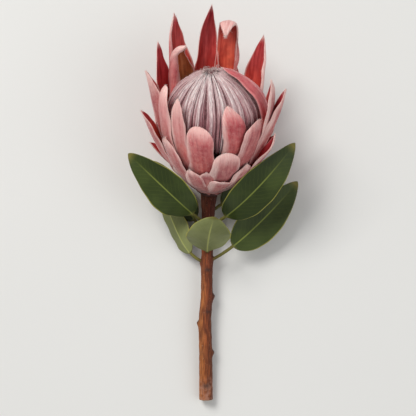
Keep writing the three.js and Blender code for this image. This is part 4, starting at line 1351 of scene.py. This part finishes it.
top = 3 + 24 * chance.random(count) ** 1.3
run = np.linspace(0, 1, FLORET_ROWS)[None]
down = mixed(LOWEST, top[:, None], run**0.85)
wobble = np.sin(run * chance.uniform(4, 9, (count, 1)) + chance.uniform(0, 6, (count, 1)))
sway = 0.3 * np.sin(run * 5 + chance.uniform(0, 6, BUNDLES)[bundle, None])
sway = sway * chance.random(BUNDLES)[bundle, None]
around = crest_turn[:, None] + (off[:, None] + 0.035 * wobble + sway * (1 - run)) * pitch[:, None]
depth = ease(down, 8, 60) * (sink + PLEAT_DEPTH * crease * to_crease**1.7)[:, None] + LEAST_DEPTH
depth = depth + RIDGE_DEPTH * ease(down, 5, 40) * beside_ridge[:, None] ** 2
depth = depth + chance.uniform(-0.3, 0.3, (count, 1))
depth = depth - 0.8 * ease(down, 34, 8) * chance.random((count, 1))
floret_line = dome_point(down, around, depth)
floret_way = unit(np.gradient(floret_line, axis=1))
outward = unit(floret_line - np.array([0, DOME_CENTRE - 14, 0]))
side = unit(np.cross(floret_way, outward))
outward = np.cross(side, floret_way)
print("Deepest place in a crease:", depth.max().round(1), "mm")

# %% [markdown]
# ## The florets
# Each is a slim tube of five sides, because there are hundreds of them. It is slimmer where they
# crowd at the top and at its tip. It is crest or crease by its place in the bundle, and more mauve
# at the back of the head and on its right, bundle by bundle.

# %% Florets
FLORET_SIDES = 5
FLORET_HALF = 0.8


def slim_tubes(line, side, other, half, sides):
    """Rings of many slim tubes, closed at both ends, and the turns of their points."""
    turns = np.arange(sides) * 2 * np.pi / sides
    rings = ring_points(line, side, other, half[..., None], turns)
    rings[:, 0], rings[:, -1] = line[:, 0, None], line[:, -1, None]
    return rings, turns


floret_half = FLORET_HALF * np.sqrt(np.sin(np.radians(np.clip(down, 12, 90))))
floret_half = floret_half * mixed(1, 0.45, ease(run, 0.93, 1))
rings, round_way = slim_tubes(floret_line, side, outward, floret_half, FLORET_SIDES)
steps = np.diff(floret_line, axis=1, prepend=floret_line[:, :1])
length = np.cumsum(np.linalg.norm(steps, axis=2), axis=1)
own_grain = (np.arange(count) * 3.7)[:, None, None]
grain_at = together(floret_half[..., None] * round_way, length[..., None], own_grain)
# Crest value: 1 on a crest, lower in creases and between ridges, where the finish paints shade.
high = (1 - crease * to_crease**2 - 0.55 * beside_ridge**1.5).clip(0, 1)
angle = np.radians(crest_turn)
mauve = 1.3 + 0.25 * np.sin(angle) - 1.3 * np.cos(angle)
mauve = mauve + chance.uniform(-0.3, 0.3, BUNDLES)[bundle]
mauve = (mauve + chance.uniform(-0.15, 0.15, count)).clip(0, 1)
values = together(high[:, None, None], down[..., None] / LOWEST, mauve[:, None, None])
florets = rolled("floret_dome", laid(from_head(rings)), [floret_silk],
                 grain_at=grain_at, share=values)
settle(florets, "floret", "florets")

# %% [markdown]
# ## The bed under the florets
# Between slim tubes there are gaps, and in a real head one looks through them at more florets, in
# the dark. A dull dark shell just under the dome closes them, and costs few faces.

# %% The bed under the florets
bed_down = np.r_[0.1, np.linspace(3, 146, 30), 146][:, None]
bed_turns = np.linspace(0, 360, 2 * BUNDLES, endpoint=False)[None]
bed_depth = 3.8 * ease(bed_down, 8, 60) + 1.0
bed = dome_point(*np.broadcast_arrays(bed_down, bed_turns), bed_depth)
bed[0] = bed[0].mean(0)
bed[-1] = bed[-1].mean(0)
floret_bed = rolled("floret_bed", laid(from_head(bed))[None], [floret_shade])
settle(floret_bed, "floret")

# %% [markdown]
# ## Silk on the florets
# Silver hairs lie along the florets and grow woolly at the top, where the florets meet. They are
# planted like those on the bracts: the wool stands out more and points every way.

# %% Silk
SILK_HAIRS, WOOL_HAIRS = 4200, 1600
SILK_HALF, SILK_DROOP = 0.05, 0.2

which = chance.integers(0, count, SILK_HAIRS + WOOL_HAIRS)
where = np.r_[chance.integers(4, FLORET_ROWS - 2, SILK_HAIRS),
              chance.integers(FLORET_ROWS - 5, FLORET_ROWS - 1, WOOL_HAIRS)]
wool = np.arange(len(which)) >= SILK_HAIRS
next_row = np.minimum(where + 1, FLORET_ROWS - 1)
spots = mixed(floret_line[which, where], floret_line[which, next_row],
              chance.random((len(which), 1)))
spots = spots + outward[which, where] * floret_half[which, where, None] * 0.8
scatter = chance.normal(0, 1, (len(which), 3)) * np.where(wool, 0.6, 0.16)[:, None]
lean = floret_way[which, where] + outward[which, where] * np.where(wool, 0.5, 0.2)[:, None] + scatter
silk_hair = planted("floret_down", laid(from_head(spots)) / MM, lean @ HEAD_TURN.T @ LAID_TURN.T,
                    chance.uniform(1.4, 3.2, len(which)), SILK_HALF, SILK_DROOP, white_down)
settle(silk_hair, "floret")

# %% [markdown]
# ## Curled styles at the top
# A few styles have pushed out where the florets meet, and curl over. They are tubes along small
# spirals, darker than the wool that they stand in.

# %% Curled styles
CURLS, CURL_ROWS, CURL_SIDES = 34, 12, 5

style_pale = patchy("style_pale", 0.5, 2.0, rgb(150, 118, 118), rgb(216, 196, 190))
t = np.linspace(0, 1, CURL_ROWS)[None]
start = dome_point(chance.uniform(2, 15, CURLS), chance.uniform(0, 360, CURLS), 1.5)[:, None]
heading = chance.uniform(0, 2 * np.pi, (CURLS, 1))
tall = chance.uniform(1.5, 4.5, (CURLS, 1))
swirl = heading + chance.uniform(1.5, 5.5, (CURLS, 1)) * t
reach = chance.uniform(1.5, 5, (CURLS, 1)) * t
line = start + np.stack([reach * np.cos(swirl), tall * np.sin(t * 2.3), reach * np.sin(swirl)], -1)
along = unit(np.gradient(line, axis=1))
side = unit(np.cross(along, [0.3, 0.2, 0.93]))
half = mixed(0.3, 0.14, t) * np.ones((CURLS, 1))
rings, _ = slim_tubes(line, side, np.cross(side, along), half, CURL_SIDES)
curls = rolled("floret_curls", laid(from_head(rings)), [style_pale])
settle(curls, "floret")

# %% [markdown]
# ## The floor
# The photograph has a plain pale ground. The flower lies down here, so the floor takes the place of
# the backdrop.

# %% Floor
FLOOR_SIZE, FLOOR_BELOW = 8, 0.0001  # metres; a little below the flower's three low points

floor_paper, tree, shader = finish_named("floor_paper", 0.9)
cloud = tree.noise(tree.here(), 3.0)
surfaced(tree, shader, tree.mix(cloud, rgb(220, 220, 217), rgb(225, 225, 222)))
bpy.ops.object.select_all(action="DESELECT")
bpy.ops.mesh.primitive_grid_add(x_subdivisions=8, y_subdivisions=8, size=FLOOR_SIZE,
                                location=(0, 0, -FLOOR_BELOW))
floor = bpy.context.object
floor.name = "floor"
floor.data.materials.append(floor_paper)
print("Floor:", FLOOR_SIZE, "metres wide")

# %% [markdown]
# ## Soft studio light
# The light in the photograph is soft, from above and a little from the left. A large lamp gives it,
# a weak one lifts the shadows on the other side, and a pale grey world fills in the rest.

# %% Light
SKY_STRENGTH = 0.46

world = bpy.data.worlds.new("studio")
bpy.context.scene.world = world
world.use_nodes = True
world.node_tree.nodes["Background"].inputs["Color"].default_value = rgb(236, 236, 238)
world.node_tree.nodes["Background"].inputs["Strength"].default_value = SKY_STRENGTH


def soft_light(name, place, size, power, colour):
    """A square lamp that looks at the middle of the floor."""
    light = bpy.data.lights.new(name, "AREA")
    light.size = size
    light.energy = power
    light.color = colour
    lamp = placed(name, light)
    lamp.location = place
    lamp.rotation_euler = Vector(place).to_track_quat("Z", "Y").to_euler()
    print(f"{name}: {power} W, {size} m wide")


soft_light("key", (-1.3, 1.5, 2.3), 1.3, 68, (1, 0.985, 0.96))
soft_light("fill", (1.6, -0.4, 1.8), 2, 14, (0.98, 0.99, 1))

# %% [markdown]
# ## The camera
# It looks nearly straight down on the flower's face, which is the photograph's view of an upright
# flower, with a long lens from about a metre away. The Standard view keeps the pale floor pale.

# %% Camera
AIM = Vector((-0.0055, -0.003, 0.05))
CAMERA_ELEVATION, CAMERA_AWAY, CAMERA_LENS = 86.5, 1.06, 100

bpy.context.scene.view_settings.view_transform = "Standard"
camera_data = bpy.data.cameras.new("camera")
camera_data.lens = CAMERA_LENS
camera = placed("camera", camera_data)
elevation = math.radians(CAMERA_ELEVATION)
back = Vector((0, -math.cos(elevation), math.sin(elevation)))
camera.location = AIM + back * CAMERA_AWAY
camera.rotation_euler = back.to_track_quat("Z", "Y").to_euler()
bpy.context.scene.camera = camera
print("Camera at", tuple(round(v, 3) for v in camera.location))
